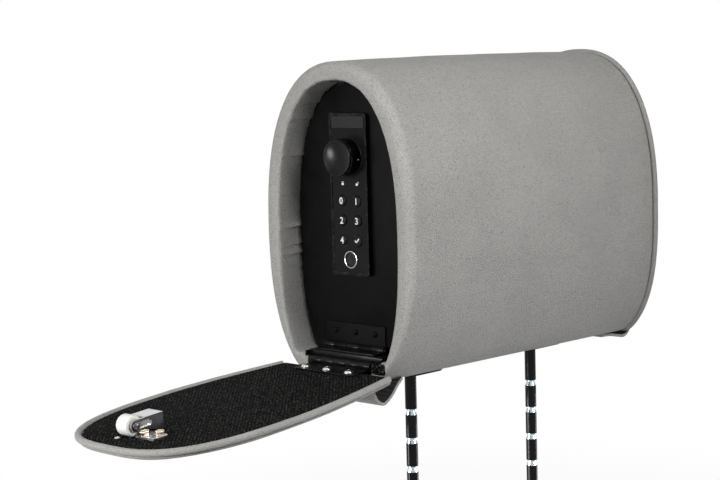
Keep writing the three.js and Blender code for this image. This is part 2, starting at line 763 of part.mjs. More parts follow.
function lockWorks({ camFront, boltSpan }) {
  const front = door.front + door.plate;
  const back = front + lockBody.depth;
  const bottom = panelBottom - lockBody.below;
  const top = knobZ + lockBody.above;
  const inside = lockBody.half - lockBody.wall;
  node(scene, 'lock_body', cut(
    block([front, back], [-lockBody.half, lockBody.half], [bottom, top]),
    block([front - fit.overrun, back - lockBody.wall], [-inside, inside],
      [bottom + lockBody.wall, top - lockBody.wall]),
    block([boltSpan[0] - fit.slide, boltSpan[1] + fit.slide],
      [-bolt.stemHalf - fit.slide, bolt.stemHalf + fit.slide], [knobZ, top + fit.overrun]),
  ), 'blackPlastic');
  const boardFront = front + fit.touch;
  const boardBack = boardFront + board.thickness;
  const boardHalf = lockBody.half - board.side;
  const boardTop = knobZ - cam.radius - board.clear;
  const chips = rows(boardHalf, 2).map((y) => block(
    [boardFront, boardBack + board.chip],
    [y - board.chipHalf, y + board.chipHalf],
    [boardTop - 2 * board.chipHeight, boardTop - board.chipHeight],
  ));
  node(scene, 'circuit_board', join(
    block([boardFront, boardBack], [-boardHalf, boardHalf], [panelBottom + board.margin, boardTop]),
    ...chips,
  ), 'board');
  const cellX = back - lockBody.wall - fit.touch - cell.radius;
  const cellBottom = panelBottom + cell.margin;
  const cells = Array.from({ length: cell.count }, (_, i) => {
    const z = cellBottom + i * cell.pitch;
    const start = i % 2 ? -cell.length / 2 - cell.nubHeight : 0;
    return join(
      rod('y', cell.radius, -cell.length / 2, cell.length / 2, cellX, z, smallSides),
      rod('y', cell.nub, start, start + cell.length / 2 + cell.nubHeight, cellX, z, smallSides),
    );
  });
  const wrap = block(
    [cellX, cellX + cell.radius * cellWrapShare.depth],
    [-cell.length * cellWrapShare.length, cell.length * cellWrapShare.length],
    [cellBottom, cellBottom + (cell.count - 1) * cell.pitch],
  );
  node(scene, 'battery_pack', join(wrap, ...cells), 'cellWrap');
  const pinX = camFront + cam.thickness / 2;
  const pinRod = (radius, from, to) => rod('y', radius, from, to, pinX, knobZ, smallSides);
  const bodyStart = cam.radius + blocker.bodyGap;
  const bodyEnd = lockBody.half - blocker.margin;
  node(scene, 'solenoid', cut(
    block([front + fit.touch, front + fit.touch + blocker.bodyDepth],
      [bodyStart, bodyEnd], [knobZ - blocker.bodyHalf, knobZ + blocker.bodyHalf]),
    pinRod(blocker.radius + fit.slide, bodyStart - fit.overrun, bodyEnd - fit.overrun / 2),
  ), 'zinc');
  const pin = pinRod(blocker.radius, cam.radius + blocker.gap, bodyEnd - blocker.inside);
  node(scene, 'solenoid_pin', pin, 'nickel');
}

// The flap, built shut in its own frame: Z runs up from the hinge axis, X into the body
const flapGroup = new THREE.Group();
flapGroup.position.set(flapHinge.x, 0, flapHinge.z);
flapGroup.rotation.y = -THREE.MathUtils.degToRad(flapRest);
scene.add(flapGroup);

const flapOval = {
  half: body.halfDepth - flap.inset,
  top: body.top - flap.drop - flapHinge.z,
  widest: flap.widest,
  lowest: flap.lowest,
  floor: flap.floor,
  ease: body.edgeEase,
  ...flapShape,
};
const hardwareSeat = -flapHinge.radius;
const liningFace = hardwareSeat - fit.touch;

const screwY = rows(flapLeaf.screwPitch, 3);

// The screws of the flap's leaf go through these
function leafHoles(from, to) {
  const bore = flapLeaf.headRadius / 2 + fit.touch;
  return screwY.map((y) => rod('x', bore, from, to, y, flapLeaf.screwAt, smallSides));
}

function flapPanel() {
  const liningBack = liningFace - flap.lining;
  const boardFront = liningBack - fit.touch;
  const boardBack = boardFront - flap.board;
  const skinFace = boardBack - fit.touch;
  const skinBack = skinFace - flap.skin;
  const lip = skinFace + flap.skinRise;
  const screwHoles = leafHoles(boardBack - fit.overrun, liningFace + fit.overrun);
  const lining = plate(liningBack, liningFace, inset(flapOval, flap.liningInset));
  node(flapGroup, 'flap_lining', cut(lining, ...screwHoles), 'carpet');
  const stiffener = plate(boardBack, boardFront, inset(flapOval, flap.boardInset));
  node(flapGroup, 'flap_board', cut(stiffener, ...screwHoles), 'ply');
  node(flapGroup, 'flap_skin', loft([
    ring(skinFace, inset(flapOval, flap.boardInset)),
    ring(lip, inset(flapOval, flap.skin)),
    ring(lip, flapOval),
    ring(skinFace, inset(flapOval, fit.touch)),
    ring((skinFace + skinBack) / 2, inset(flapOval, flap.skinEdge / 4)),
    ring(skinBack, inset(flapOval, flap.skinEdge)),
  ], true), 'leather');
  const pipeX = lip + fit.touch + flap.pipingRadius;
  const route = outline(inset(flapOval, flap.pipingInset)).filter(([, z]) => z > flap.pipingStart);
  const curve = new THREE.CatmullRomCurve3(route.map(([y, z]) => new THREE.Vector3(pipeX, y, z)));
  const circle = new THREE.Shape().absarc(0, 0, flap.pipingRadius, 0, 2 * Math.PI);
  node(flapGroup, 'flap_piping', bareCopy(new THREE.ExtrudeGeometry(circle, {
    steps: 48,
    curveSegments: 5,
    extrudePath: curve,
  })), 'leather');
}

function flapHardware() {
  const own = { ...flapHinge, x: 0, z: 0 };
  const leafFace = hardwareSeat + flapHinge.leaf;
  const holes = leafHoles(liningFace - fit.overrun, leafFace + fit.overrun);
  node(flapGroup, 'flap_leaf', cut(hingeHalf(own, 1, block(
    [hardwareSeat, leafFace], [-flapLeaf.half, flapLeaf.half], [0, flapLeaf.reach],
  )), ...holes), 'blackSteel');
  const shankEnd = liningFace - flap.lining - flap.board;
  const screw = (y) => turnedX([
    [shankEnd, 0],
    [shankEnd, flapLeaf.headRadius / 2],
    [leafFace, flapLeaf.headRadius / 2],
    [leafFace, flapLeaf.headRadius],
    [leafFace + flapLeaf.headHeight * 0.4, flapLeaf.headRadius],
    [leafFace + flapLeaf.headHeight, flapLeaf.headRadius * 0.5],
    [leafFace + flapLeaf.headHeight, 0],
  ], y, flapLeaf.screwAt, smallSides);
  screwY.forEach((y, i) => node(flapGroup, `flap_leaf_screw_${i + 1}`, screw(y), 'nickel'));
}

function rollerCatch() {
  const rollerX = hardwareSeat + roller.radius;
  const cheekGap = roller.width / 2 + fit.slide;
  const top = hardwareSeat + bracket.height;
  const sides = [roller.y - cheekGap - bracket.wall, roller.y + cheekGap + bracket.wall];
  const footEdge = sides[0] - bracket.footReach;
  node(flapGroup, 'catch_bracket', cut(
    join(
      block([hardwareSeat, top], [sides[0], sides[0] + bracket.wall], [bracket.start, bracket.end]),
      block([hardwareSeat, top], [sides[1] - bracket.wall, sides[1]], [bracket.start, bracket.end]),
      block([top - bracket.wall, top], sides, [bracket.start, bracket.start + bracket.roof]),
      block([hardwareSeat, top], sides, [bracket.start, bracket.start + bracket.wall]),
      block(
        [hardwareSeat, hardwareSeat + bracket.wall],
        [footEdge, sides[0] + bracket.wall],
        [bracket.footStart, bracket.footEnd],
      ),
    ),
    block([rollerX - slot.half, rollerX + slot.half],
      [sides[0] - fit.overrun, sides[1] + fit.overrun], [slot.start, roller.at + slot.half]),
  ), 'chrome');
  node(flapGroup, 'catch_roller', cut(
    rod('y', roller.radius, roller.y - roller.width / 2, roller.y + roller.width / 2, rollerX, roller.at),
    rod('y', roller.bore, roller.y - roller.width, roller.y + roller.width, rollerX, roller.at, smallSides),
  ), 'nylon');
  const headAt = [sides[0] - fit.touch, sides[1] + fit.touch];
  const shaft = (radius, from, to) => rod('y', radius, from, to, rollerX, roller.at, smallSides);
  node(flapGroup, 'catch_axle', join(
    shaft(axle.radius, headAt[0] - axle.headHeight, headAt[1] + axle.headHeight),
    shaft(axle.head, headAt[0] - axle.headHeight, headAt[0]),
    shaft(axle.head, headAt[1], headAt[1] + axle.headHeight),
  ), 'zinc');
  const seat = hardwareSeat + bracket.wall;
  [[nut.first, nut.firstReach], [nut.second, nut.secondReach]].forEach(([at, reach], i) => {
    const hexagon = rod('x', nut.radius, seat, seat + nut.height, sides[0] - reach, at, nut.sides);
    node(flapGroup, `catch_nut_${i + 1}`, hexagon, 'brassPlate');
  });
  const screwTop = hardwareSeat + tipScrew.height;
  const head = rod('x', tipScrew.radius, hardwareSeat, screwTop, tipScrew.y, tipScrew.at, smallSides);
  node(flapGroup, 'catch_tip_screw', head, 'nickel');
}

function postProfile() {
  const { radius, neck, bottom } = post;
  const profile = [[bottom, 0], [bottom, radius - post.chamfer], [bottom + post.chamfer, radius]];
  for (let i = post.notchCount - 1; i >= 0; i -= 1) {
    const shoulder = post.firstNotch - i * post.notchPitch;
    const neckFoot = shoulder - post.neckLength;
    profile.push([neckFoot - post.flare, radius], [neckFoot, neck], [shoulder, neck], [shoulder, radius]);
  }
  return [...profile, [post.top, radius], [post.top, 0]];
}

function posts() {
  const inside = rail.half - rail.wall;
  const lipTop = rail.floor + rail.lip;
  const seat = lipTop + fit.touch;
  const roof = rail.top - rail.wall;
  const through = [rail.start - fit.overrun, rail.end + fit.overrun];
  const channel = cut(
    join(
      block([rail.start, rail.end], [-rail.half, rail.half], [rail.floor, rail.top]),
      block([rail.start, rail.end], [-rail.lipHalf, rail.lipHalf], [rail.floor, lipTop]),
    ),
    block(through, [-inside, inside], [lipTop, roof]),
    block(through, [-rail.mouth, rail.mouth], [rail.floor - fit.overrun, roof]),
  );
  node(scene, 'rail_channel', channel, 'blackSteel');
  const plateTop = -fit.touch;
  const mouthReach = post.travel + slotPlate.mouth;
  Object.entries(postPlaces).forEach(([end, x]) => {
    node(scene, `${end}_post`, turnedZ(postProfile(), x, 20), 'chrome');
    node(scene, `${end}_carriage`, cut(
      block(
        [x - carriage.half, x + carriage.half],
        [-inside + fit.slide, inside - fit.slide],
        [seat, roof - fit.slide],
      ),
      rod('z', carriage.bore + fit.touch, seat - fit.overrun, post.top + fit.touch, x, 0),
    ), 'zinc');
    const collar = block(
      [x - mouthReach - slotPlate.collar, x + mouthReach + slotPlate.collar],
      [-rail.mouth + fit.touch, rail.mouth - fit.touch],
      [plateTop - slotPlate.collar, lipTop],
    );
    const slab = roundedSlab([slotPlate.bottom, plateTop], slotPlate.half,
      [x - slotPlate.beyond, x + slotPlate.beyond], slotPlate.corner);
    slab.applyMatrix4(new THREE.Matrix4().set(0, 0, 1, 0, 0, -1, 0, 0, 1, 0, 0, 0, 0, 0, 0, 1));
    node(scene, `${end}_slot_plate`, cut(
      join(slab, collar),
      block([x - mouthReach, x + mouthReach], [-slotPlate.mouth, slotPlate.mouth],
        [slotPlate.bottom - fit.overrun, lipTop + fit.overrun]),
    ), 'blackPlastic');
  });
}

function nearTail() {
  const loop = nearLoopShares.map(([out, down]) => [
    body.near + nearLoop.setback - out * nearLoop.run,
    -down * nearLoop.depth - tail.thickness / 2 - fit.touch,
  ]);
  node(scene, 'near_tail', strip(loop, tail.near, tail.thickness, 16), 'leather');
}

paddedBody();
closedEnd();
steelBox();
fixedHinges();
doorPlate();
lockFront();
lockWorks(lockTurn());
flapPanel();
flapHardware();
rollerCatch();
posts();
nearTail();

export default scene;
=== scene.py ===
import math

import bmesh
import bpy
from mathutils import Matrix, Vector, noise


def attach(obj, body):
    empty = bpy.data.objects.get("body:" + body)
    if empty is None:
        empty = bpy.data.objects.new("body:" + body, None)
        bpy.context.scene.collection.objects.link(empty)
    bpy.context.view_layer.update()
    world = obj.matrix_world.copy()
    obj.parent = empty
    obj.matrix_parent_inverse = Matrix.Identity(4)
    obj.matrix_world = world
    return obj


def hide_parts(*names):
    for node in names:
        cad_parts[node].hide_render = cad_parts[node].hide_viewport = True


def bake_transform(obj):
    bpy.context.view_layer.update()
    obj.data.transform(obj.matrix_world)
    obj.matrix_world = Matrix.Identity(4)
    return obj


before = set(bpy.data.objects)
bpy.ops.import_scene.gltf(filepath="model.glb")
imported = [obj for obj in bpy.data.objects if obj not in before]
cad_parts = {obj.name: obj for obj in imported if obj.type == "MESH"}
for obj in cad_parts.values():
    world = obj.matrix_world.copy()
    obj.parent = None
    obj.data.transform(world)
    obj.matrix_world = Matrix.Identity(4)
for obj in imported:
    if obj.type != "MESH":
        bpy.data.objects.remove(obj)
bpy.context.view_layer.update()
mm = 0.001
print("frame loaded,", len(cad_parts), "CAD nodes")

# Pieces are drawn in millimetres and scaled to metres when they are finished.


def srgb(*tone):
    shares = [c / 255 for c in tone]
    return (*(c / 12.92 if c <= 0.04045 else ((c + 0.055) / 1.055) ** 2.4 for c in shares), 1)


def shade(tint, more=0, share=1):
    return srgb(*(min(255, c * share + more) for c in tint))


def meshOf(name, bm, place=None, clean=True):
    if clean:
        bmesh.ops.remove_doubles(bm, verts=bm.verts, dist=0.0005)
        bmesh.ops.recalc_face_normals(bm, faces=bm.faces)
    if place is not None:
        bmesh.ops.transform(bm, matrix=place, verts=bm.verts)
    bmesh.ops.scale(bm, vec=(mm, mm, mm), verts=bm.verts)
    mesh = bpy.data.meshes.new(name)
    bm.to_mesh(mesh)
    bm.free()
    return mesh


def linked(name, data):
    piece = bpy.data.objects.new(name, data)
    bpy.context.scene.collection.objects.link(piece)
    return piece


def finalMesh(piece):
    return bpy.data.meshes.new_from_object(piece.evaluated_get(bpy.context.evaluated_depsgraph_get()))


def finishPiece(name, bm, body, finish, *stands, sharp=35, turned=True, place=None):
    mesh = meshOf(name, bm, place, turned)
    mesh.shade_smooth()
    mesh.set_sharp_from_angle(angle=math.radians(sharp))
    piece = linked(name, mesh)
    dress(piece, finish)
    if body:
        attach(piece, body)
    if stands:
        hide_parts(*stands)
    return piece


def dress(piece, finish):
    piece.data.materials.clear()
    piece.data.materials.append(finishes[finish]["material"])


def secondFinish(piece, finish, chosen):
    piece.data.materials.append(finishes[finish]["material"])
    for face in piece.data.polygons:
        if chosen(face):
            face.material_index = 1


def soften(piece, width):
    step = piece.modifiers.new("soften", "BEVEL")
    step.width, step.segments = width * mm, 3
    step.limit_method, step.angle_limit = "ANGLE", math.radians(40)
    step.harden_normals = True


def carve(piece, bm, mode="DIFFERENCE", place=None):
    # Cuts the closed shapes in bm out of the piece, or joins them to it
    mesh = meshOf("tool", bm, place)
    tool = linked("tool", mesh)
    step = piece.modifiers.new("carve", "BOOLEAN")
    step.operation, step.solver, step.material_mode = mode, "EXACT", "INDEX"
    step.object = tool
    result = finalMesh(piece)
    piece.modifiers.clear()
    old = piece.data
    name = old.name
    piece.data = result
    bpy.data.meshes.remove(old)
    result.name = name
    bpy.data.objects.remove(tool)
    bpy.data.meshes.remove(mesh)
    result.shade_smooth()
    result.set_sharp_from_angle(angle=math.radians(32))


# Outlines

body = {
    "near": -165, "far": 157.2, "halfDepth": 82.8, "top": 256.3, "widest": 120, "lowest": -10,
    "crown": 1.2, "leather": 1.4, "ease": 4, "topPower": 2.35, "lowPower": 2.4, "farLowPower": 2.75,
}
rim = {"radius": 8.5, "innerPower": 6, "recessDepth": 25}
opening = {"half": 66, "top": 241, "floor": 18.5, "lowPower": 2.7}
outerOval = {
    "half": body["halfDepth"], "top": body["top"], "widest": body["widest"], "lowest": body["lowest"],
    "floor": 0, "ease": body["ease"], "topPower": body["topPower"], "lowPower": body["lowPower"],
}
openingOval = {**outerOval, **opening}
farOval = {**outerOval, "lowPower": body["farLowPower"]}
flapOval = {
    "half": 75.7, "top": 242.5, "widest": 120, "lowest": -130, "floor": 5, "ease": 4,
    "topPower": 2.95, "lowPower": 1.5,
}
skinOval = {**outerOval, "floor": 0.8}
skinFarOval = {**farOval, "floor": 0.8}
rimStart = body["near"] + rim["radius"]
recessEnd = body["near"] + rim["recessDepth"]


def settle(z, floor, ease):
    above = z - floor
    if above >= ease:
        return z
    return floor if above <= -ease else floor + (above + ease) ** 2 / (4 * ease)


def ovalPoint(oval, turn):
    across, up = math.cos(turn), math.sin(turn)
    power = oval["topPower"] if up > 0 else oval["lowPower"]
    reach = oval["top"] - oval["widest"] if up > 0 else oval["widest"] - oval["lowest"]
    y = oval["half"] * math.copysign(abs(across) ** (2 / power), across)
    z = oval["widest"] + reach * math.copysign(abs(up) ** (2 / power), up)
    return y, settle(z, oval["floor"], oval["ease"])


def spaced(lengths, shares):
    # For shares of the whole length: the leg that each falls on, and how far along the leg
    run = [0]
    for length in lengths:
        run.append(run[-1] + length)
    spots, at = [], 0
    for share in shares:
        want = min(share * run[-1], run[-1] - 1e-9)
        while run[at + 1] < want:
            at += 1
        spots.append((at, (want - run[at]) / (run[at + 1] - run[at])))
    return spots


def outline(oval, count):
    # Evenly spaced points, from the middle of the floor round by +Y
    fine = count * 8
    dense = [ovalPoint(oval, i / fine * 2 * math.pi - math.pi / 2) for i in range(fine + 1)]
    lengths = [math.hypot(y1 - y0, z1 - z0) for (y0, z0), (y1, z1) in zip(dense, dense[1:])]
    spots = spaced(lengths, [i / count for i in range(count)])
    return [tuple(a + (b - a) * share for a, b in zip(dense[at], dense[at + 1])) for at, share in spots]


def inset(oval, amount):
    return {
        **oval,
        "half": oval["half"] - amount, "top": oval["top"] - amount,
        "lowest": oval["lowest"] + amount, "floor": oval["floor"] + amount,
    }


def between(first, second, share):
    return {key: first[key] + (second[key] - first[key]) * share for key in first}


def ringAt(x, oval, count):
    return [Vector((x, y, z)) for y, z in outline(oval, count)]


def ringsOf(section, oval, count):
    # section: (place along X, depth in from the edge)
    return [ringAt(x, inset(oval, depth), count) for x, depth in section]


# Profiles: (distance along the axis, radius)

def shifted(start, profile):
    return [(start + along, radius) for along, radius in profile]


def mirrored(side):
    return [(-along, radius) for along, radius in side] + side[::-1]


def rod(low, high, radius):
    return [(low, 0), (low, radius), (high, radius), (high, 0)]


# Shapes

def startRing(bm, points):
    ring = bmesh.ops.create_circle(bm, segments=len(points), radius=1)["verts"]
    for vert, point in zip(ring, points):
        vert.co = point
    return ring


def nextRing(bm, ring, points, closed=True):
    pairs = zip(ring, ring[1:] + ring[:1] if closed else ring[1:])
    made = bmesh.ops.extrude_edge_only(bm, edges=[bm.edges.get(pair) for pair in pairs])["geom"]
    fresh = {item for item in made if isinstance(item, bmesh.types.BMVert)}
    following = [
        next(edge.other_vert(v) for edge in v.link_edges if edge.other_vert(v) in fresh) for v in ring
    ]
    for vert, point in zip(following, points):
        vert.co = point
    return following


def loft(rings, ends):
    # ends: "flat" for a face at each end, or "closed" back to the first ring
    bm = bmesh.new()
    first = ring = startRing(bm, rings[0])
    for points in rings[1:]:
        ring = nextRing(bm, ring, points)
    if ends == "closed":
        nextRing(bm, ring, rings[0])
    else:
        for edge in (first, ring):
            bmesh.ops.contextual_create(bm, geom=edge)
    return bm


def spun(profile, axis, at=(0, 0, 0), steps=64, bm=None):
    bm = bm or bmesh.new()
    before = set(bm.verts)
    verts = [bm.verts.new((0, radius, along)) for along, radius in profile]
    edges = [bm.edges.new(pair) for pair in zip(verts, verts[1:])]
    bmesh.ops.spin(
        bm, geom=verts + edges, cent=(0, 0, 0), axis=(0, 0, 1), angle=2 * math.pi, steps=steps,
        use_merge=True,
    )
    fresh = [v for v in bm.verts if v not in before]
    bmesh.ops.remove_doubles(bm, verts=fresh, dist=0.0005)
    turn = {
        "X": Matrix.Rotation(math.pi / 2, 4, "Y"), "Y": Matrix.Rotation(-math.pi / 2, 4, "X"), "Z": Matrix(),
    }[axis]
    fresh = [v for v in fresh if v.is_valid]
    bmesh.ops.transform(bm, matrix=Matrix.Translation(at) @ turn, verts=fresh)
    return bm


def rounded(bm, edges, width, segments):
    bmesh.ops.bevel(
        bm, geom=edges, offset=width, offset_type="OFFSET", segments=segments, profile=0.5,
        affect="EDGES", clamp_overlap=True, material=-1,
    )


def slab(low, high, edge=0, corner=0, across="X"):
    # A box with rounded edges, and with larger corners seen along one axis
    bm = bmesh.new()
    size = Vector(high) - Vector(low)
    place = Matrix.Translation((Vector(low) + Vector(high)) / 2) @ Matrix.Diagonal((*size, 1))
    bmesh.ops.create_cube(bm, size=1, matrix=place)
    index = "XYZ".index(across)
    if corner:
        along = [e for e in bm.edges if abs((e.verts[0].co - e.verts[1].co)[index]) > 1e-6]
        rounded(bm, along, corner, 8)
    if edge:
        rounded(bm, [e for e in bm.edges if e.calc_face_angle(0) > math.radians(40)], edge, 3)
    return bm


def sweep(path, radius, sides):
    # A round section along a path of points, which keeps its side to +X
    rings = []
    turns = [j / sides * 2 * math.pi for j in range(sides)]
    for i, point in enumerate(path):
        before, after = path[max(i - 1, 0)], path[min(i + 1, len(path) - 1)]
        way = (after - before).normalized()
        side = Vector((1, 0, 0)) if abs(way.x) < 0.9 else Vector((0, 0, 1))
        up = way.cross(side).normalized()
        side = up.cross(way).normalized()
        rings.append([point + (side * math.cos(t) + up * math.sin(t)) * radius for t in turns])
    return loft(rings, "flat")


def textMesh(words, size, name):
    curve = bpy.data.curves.new(name, "FONT")
    curve.body, curve.size = words, size
    curve.align_x, curve.align_y = "CENTER", "CENTER"
    curve.extrude, curve.offset, curve.resolution_u = 0.012 * size, 0.012 * size, 6
    carrier = linked(name, curve)
    mesh = finalMesh(carrier)
    bpy.data.objects.remove(carrier)
    bpy.data.curves.remove(curve)
    bm = bmesh.new()
    bm.from_mesh(mesh)
    bpy.data.meshes.remove(mesh)
    ends = [(min(v.co[i] for v in bm.verts), max(v.co[i] for v in bm.verts)) for i in (0, 1)]
    bmesh.ops.translate(bm, vec=(*(-(low + high) / 2 for low, high in ends), 0), verts=bm.verts)
    return bm


def addTo(bm, part):
    mesh = bpy.data.meshes.new("part")
    part.to_mesh(mesh)
    part.free()
    bm.from_mesh(mesh)
    bpy.data.meshes.remove(mesh)


# Seen from the near end, print reads along -Y with its top to +Z
printTurn = Matrix(((0, 0, -1, 0), (-1, 0, 0, 0), (0, 1, 0, 0), (0, 0, 0, 1)))

# Node groups that several materials share


class Wiring:
    def __init__(self, tree):
        self.tree = tree

    def add(self, kind, **settings):
        node = self.tree.nodes.new(kind)
        inputs = settings.pop("inputs", {})
        for key, value in settings.items():
            setattr(node, key, value)
        for key, value in inputs.items():
            self.feed(value, node.inputs[key])
        return node

    def feed(self, value, socket):
        if isinstance(value, bpy.types.NodeSocket):
            self.tree.links.new(value, socket)
        else:
            socket.default_value = value

    def math(self, operation, first, second=0.0, clamp=False):
        node = self.add("ShaderNodeMath", operation=operation, use_clamp=clamp)
        self.feed(first, node.inputs[0])
        self.feed(second, node.inputs[1])
        return node.outputs[0]

    def ramp(self, value, low, high, start=0.0, end=1.0):
        node = self.add("ShaderNodeMapRange", interpolation_type="SMOOTHSTEP")
        self.feed(value, node.inputs["Value"])
        for key, number in (("From Min", low), ("From Max", high), ("To Min", start), ("To Max", end)):
            self.feed(number, node.inputs[key])
        return node.outputs["Result"]

    def vector(self, operation, first, second):
        return self.add("ShaderNodeVectorMath", operation=operation, inputs={0: first, 1: second})

    def times(self, first, second, clamp=False):
        return self.math("MULTIPLY", first, second, clamp)

    def mix(self, share, first, second):
        node = self.add("ShaderNodeMix", data_type="RGBA", inputs={0: share, 6: first, 7: second})
        return node.outputs[2]

    def texture(self, kind, place, scale, settings=None, **inputs):
        fed = {"Vector": place, "Scale": scale}
        fed.update({key.replace("_", " "): value for key, value in inputs.items()})
        return self.add(f"ShaderNodeTex{kind}", **(settings or {}), inputs=fed).outputs

    def noise(self, place, scale, detail, **inputs):
        return self.texture("Noise", place, scale, Detail=detail, **inputs)

    def cells(self, feature, place, scale, **inputs):
        return self.texture("Voronoi", place, scale, {"feature": feature}, **inputs)

    def bands(self, direction, place, scale, **inputs):
        return self.texture("Wave", place, scale, {"bands_direction": direction}, **inputs)

    def warped(self, place, scale, detail, amount):
        push = self.noise(place, scale, detail)["Color"]
        shift = self.add("ShaderNodeVectorMath", operation="SCALE", inputs={0: push, "Scale": amount})
        return self.vector("ADD", place, shift.outputs[0]).outputs[0]

    def seen(self):
        # One for camera, glossy and transmission rays
        path = self.add("ShaderNodeLightPath").outputs
        mirrored = self.math("MAXIMUM", path["Is Glossy Ray"], path["Is Transmission Ray"])
        return self.math("MAXIMUM", path["Is Camera Ray"], mirrored)


def newGroup(name, inputs, outputs):
    group = bpy.data.node_groups.new(name, "ShaderNodeTree")
    for key, value in inputs.items():
        kind = "NodeSocketVector" if value is None else "NodeSocketFloat"
        socket = group.interface.new_socket(key, in_out="INPUT", socket_type=kind)
        if value is not None:
            socket.default_value = value
    for key in outputs:
        group.interface.new_socket(key, in_out="OUTPUT", socket_type="NodeSocketFloat")
    w = Wiring(group)
    return group, w, w.add("NodeGroupInput").outputs, w.add("NodeGroupOutput").inputs


def leatherGrain():
    # Small pebbles with creases between them, and broad tone
    group, w, given, out = newGroup(
        "leatherGrain", {"Vector": None, "Size": 1.1, "Crease": 0.5}, ("Height", "Crease", "Fine", "Tone"),
    )
    place = given["Vector"]
    perMetre = w.math("DIVIDE", 1000.0, given["Size"])
    moved = w.warped(place, 420.0, 2.0, 0.0009)
    edges = w.cells("DISTANCE_TO_EDGE", moved, perMetre)
    domes = w.cells("SMOOTH_F1", moved, perMetre, Smoothness=0.4)
    crease = w.times(w.ramp(edges["Distance"], 0.0, 0.13, 1.0, 0.0), given["Crease"])
    dome = w.math("SUBTRACT", 1.0, domes["Distance"])
    fine = w.noise(place, w.times(perMetre, 2.6), 3.0)["Fac"]
    w.feed(w.math("SUBTRACT", w.math("ADD", dome, w.times(fine, 0.5)), crease), out["Height"])
    w.feed(crease, out["Crease"])
    w.feed(w.ramp(fine, 0.5, 0.72), out["Fine"])
    w.feed(w.noise(place, 14.0, 4.0, Roughness=0.55)["Fac"], out["Tone"])
    return group


def edgeWearAndHighlight():
    # Edges where the rounded normal leaves the face's own: lightened as rubbed wear, and on the panel, knob
    # and keys as a painted edge highlight
    group, w, given, out = newGroup("edgeWearAndHighlight", {"Vector": None, "Width": 0.0006, "Breakup": 0.5}, ("WearAndHighlight",))
    rounded = w.add("ShaderNodeBevel", samples=6, inputs={"Radius": given["Width"]})
    own = w.add("ShaderNodeNewGeometry").outputs["Normal"]
    turn = w.vector("DOT_PRODUCT", rounded.outputs[0], own)
    edge = w.ramp(turn.outputs["Value"], 0.8, 0.99, 1.0, 0.0)
    patches = w.noise(given["Vector"], 260.0, 4.0)["Fac"]
    kept = w.ramp(patches, w.times(given["Breakup"], 0.85), w.math("ADD", given["Breakup"], 0.15))
    w.feed(w.times(edge, kept), out["WearAndHighlight"])
    return group


def lightDust():
    # Specks and a faint film on faces that look up
    group, w, given, out = newGroup("lightDust", {"Vector": None, "Amount": 0.3}, ("Dust",))
    own = w.add("ShaderNodeNewGeometry").outputs["Normal"]
    facing = w.add("ShaderNodeSeparateXYZ", inputs={0: own})
    film = w.ramp(w.noise(given["Vector"], 60.0, 6.0)["Fac"], 0.42, 0.75)
    specks = w.cells("F1", given["Vector"], 700.0)
    dots = w.ramp(specks["Distance"], 0.06, 0.14, 1.0, 0.0)
    rare = w.ramp(w.add("ShaderNodeSeparateColor", inputs={0: specks["Color"]}).outputs[0], 0.9, 0.95)
    up = w.ramp(facing.outputs["Z"], -0.2, 0.8, 0.15, 1.0)
    body = w.math("ADD", w.times(film, 0.4), w.times(dots, rare))
    w.feed(w.times(w.times(body, up), given["Amount"], clamp=True), out["Dust"])
    return group


def mouldedSkin():
    # The fine bite of a spark-eroded mould, or of powder coat with a larger size
    group, w, given, out = newGroup("mouldedSkin", {"Vector": None, "Size": 0.5}, ("Height", "Spread"))
    perMetre = w.math("DIVIDE", 1000.0, given["Size"])
    w.feed(w.noise(given["Vector"], perMetre, 3.0, Roughness=0.6)["Fac"], out["Height"])
    w.feed(w.noise(given["Vector"], 45.0, 5.0)["Fac"], out["Spread"])
    return group


def brushedMetal():
    # Hair lines along one direction, and broad smears
    group, w, given, out = newGroup("brushedMetal", {"Vector": None, "Pull": 30.0}, ("Height", "Smear"))
    hairs = {"X": w.math("DIVIDE", 1800.0, given["Pull"]), "Y": 1800.0, "Z": 1800.0}
    stretch = w.add("ShaderNodeCombineXYZ", inputs=hairs)
    drawn = w.vector("MULTIPLY", given["Vector"], stretch.outputs[0])
    w.feed(w.noise(drawn.outputs[0], 1.0, 4.0)["Fac"], out["Height"])
    w.feed(w.noise(given["Vector"], 120.0, 5.0)["Fac"], out["Smear"])
    return group


groups = {make.__name__: make() for make in (leatherGrain, edgeWearAndHighlight, lightDust, mouldedSkin, brushedMetal)}
print("shared node groups:", ", ".join(groups))


class Finish:
    # One material: its own Principled BSDF with the wiring that feeds it
    def __init__(self, name, slot, roughness=0.5, metallic=0.0, **sockets):
        self.material = bpy.data.materials.new(name)
        self.material.use_nodes = True
        self.slot = slot
        self.w = Wiring(self.material.node_tree)
        self.shader = self.material.node_tree.nodes["Principled BSDF"]
        self.shader.inputs["Roughness"].default_value = roughness
        self.shader.inputs["Metallic"].default_value = metallic
        for key, value in sockets.items():
            self.shader.inputs[key.replace("_", " ")].default_value = value
        self.place = self.w.add("ShaderNodeTexCoord").outputs["Object"]

    def group(self, name, **values):
        node = self.w.add("ShaderNodeGroup", node_tree=groups[name])
        self.w.feed(self.place, node.inputs["Vector"])
        for key, value in values.items():
            self.w.feed(value, node.inputs[key])
        return node.outputs

    def bump(self, height, distance, strength=1.0, below=None):
        fed = {"Height": height, "Distance": distance, "Strength": strength}
        node = self.w.add("ShaderNodeBump", inputs=fed)
        if below is not None:
            self.w.feed(below, node.inputs["Normal"])
        return node.outputs["Normal"]

    def feed(self, **values):
        for key, value in values.items():
            self.w.feed(value, self.shader.inputs[key.replace("_", " ")])
        return {"material": self.material, "slot": self.slot}


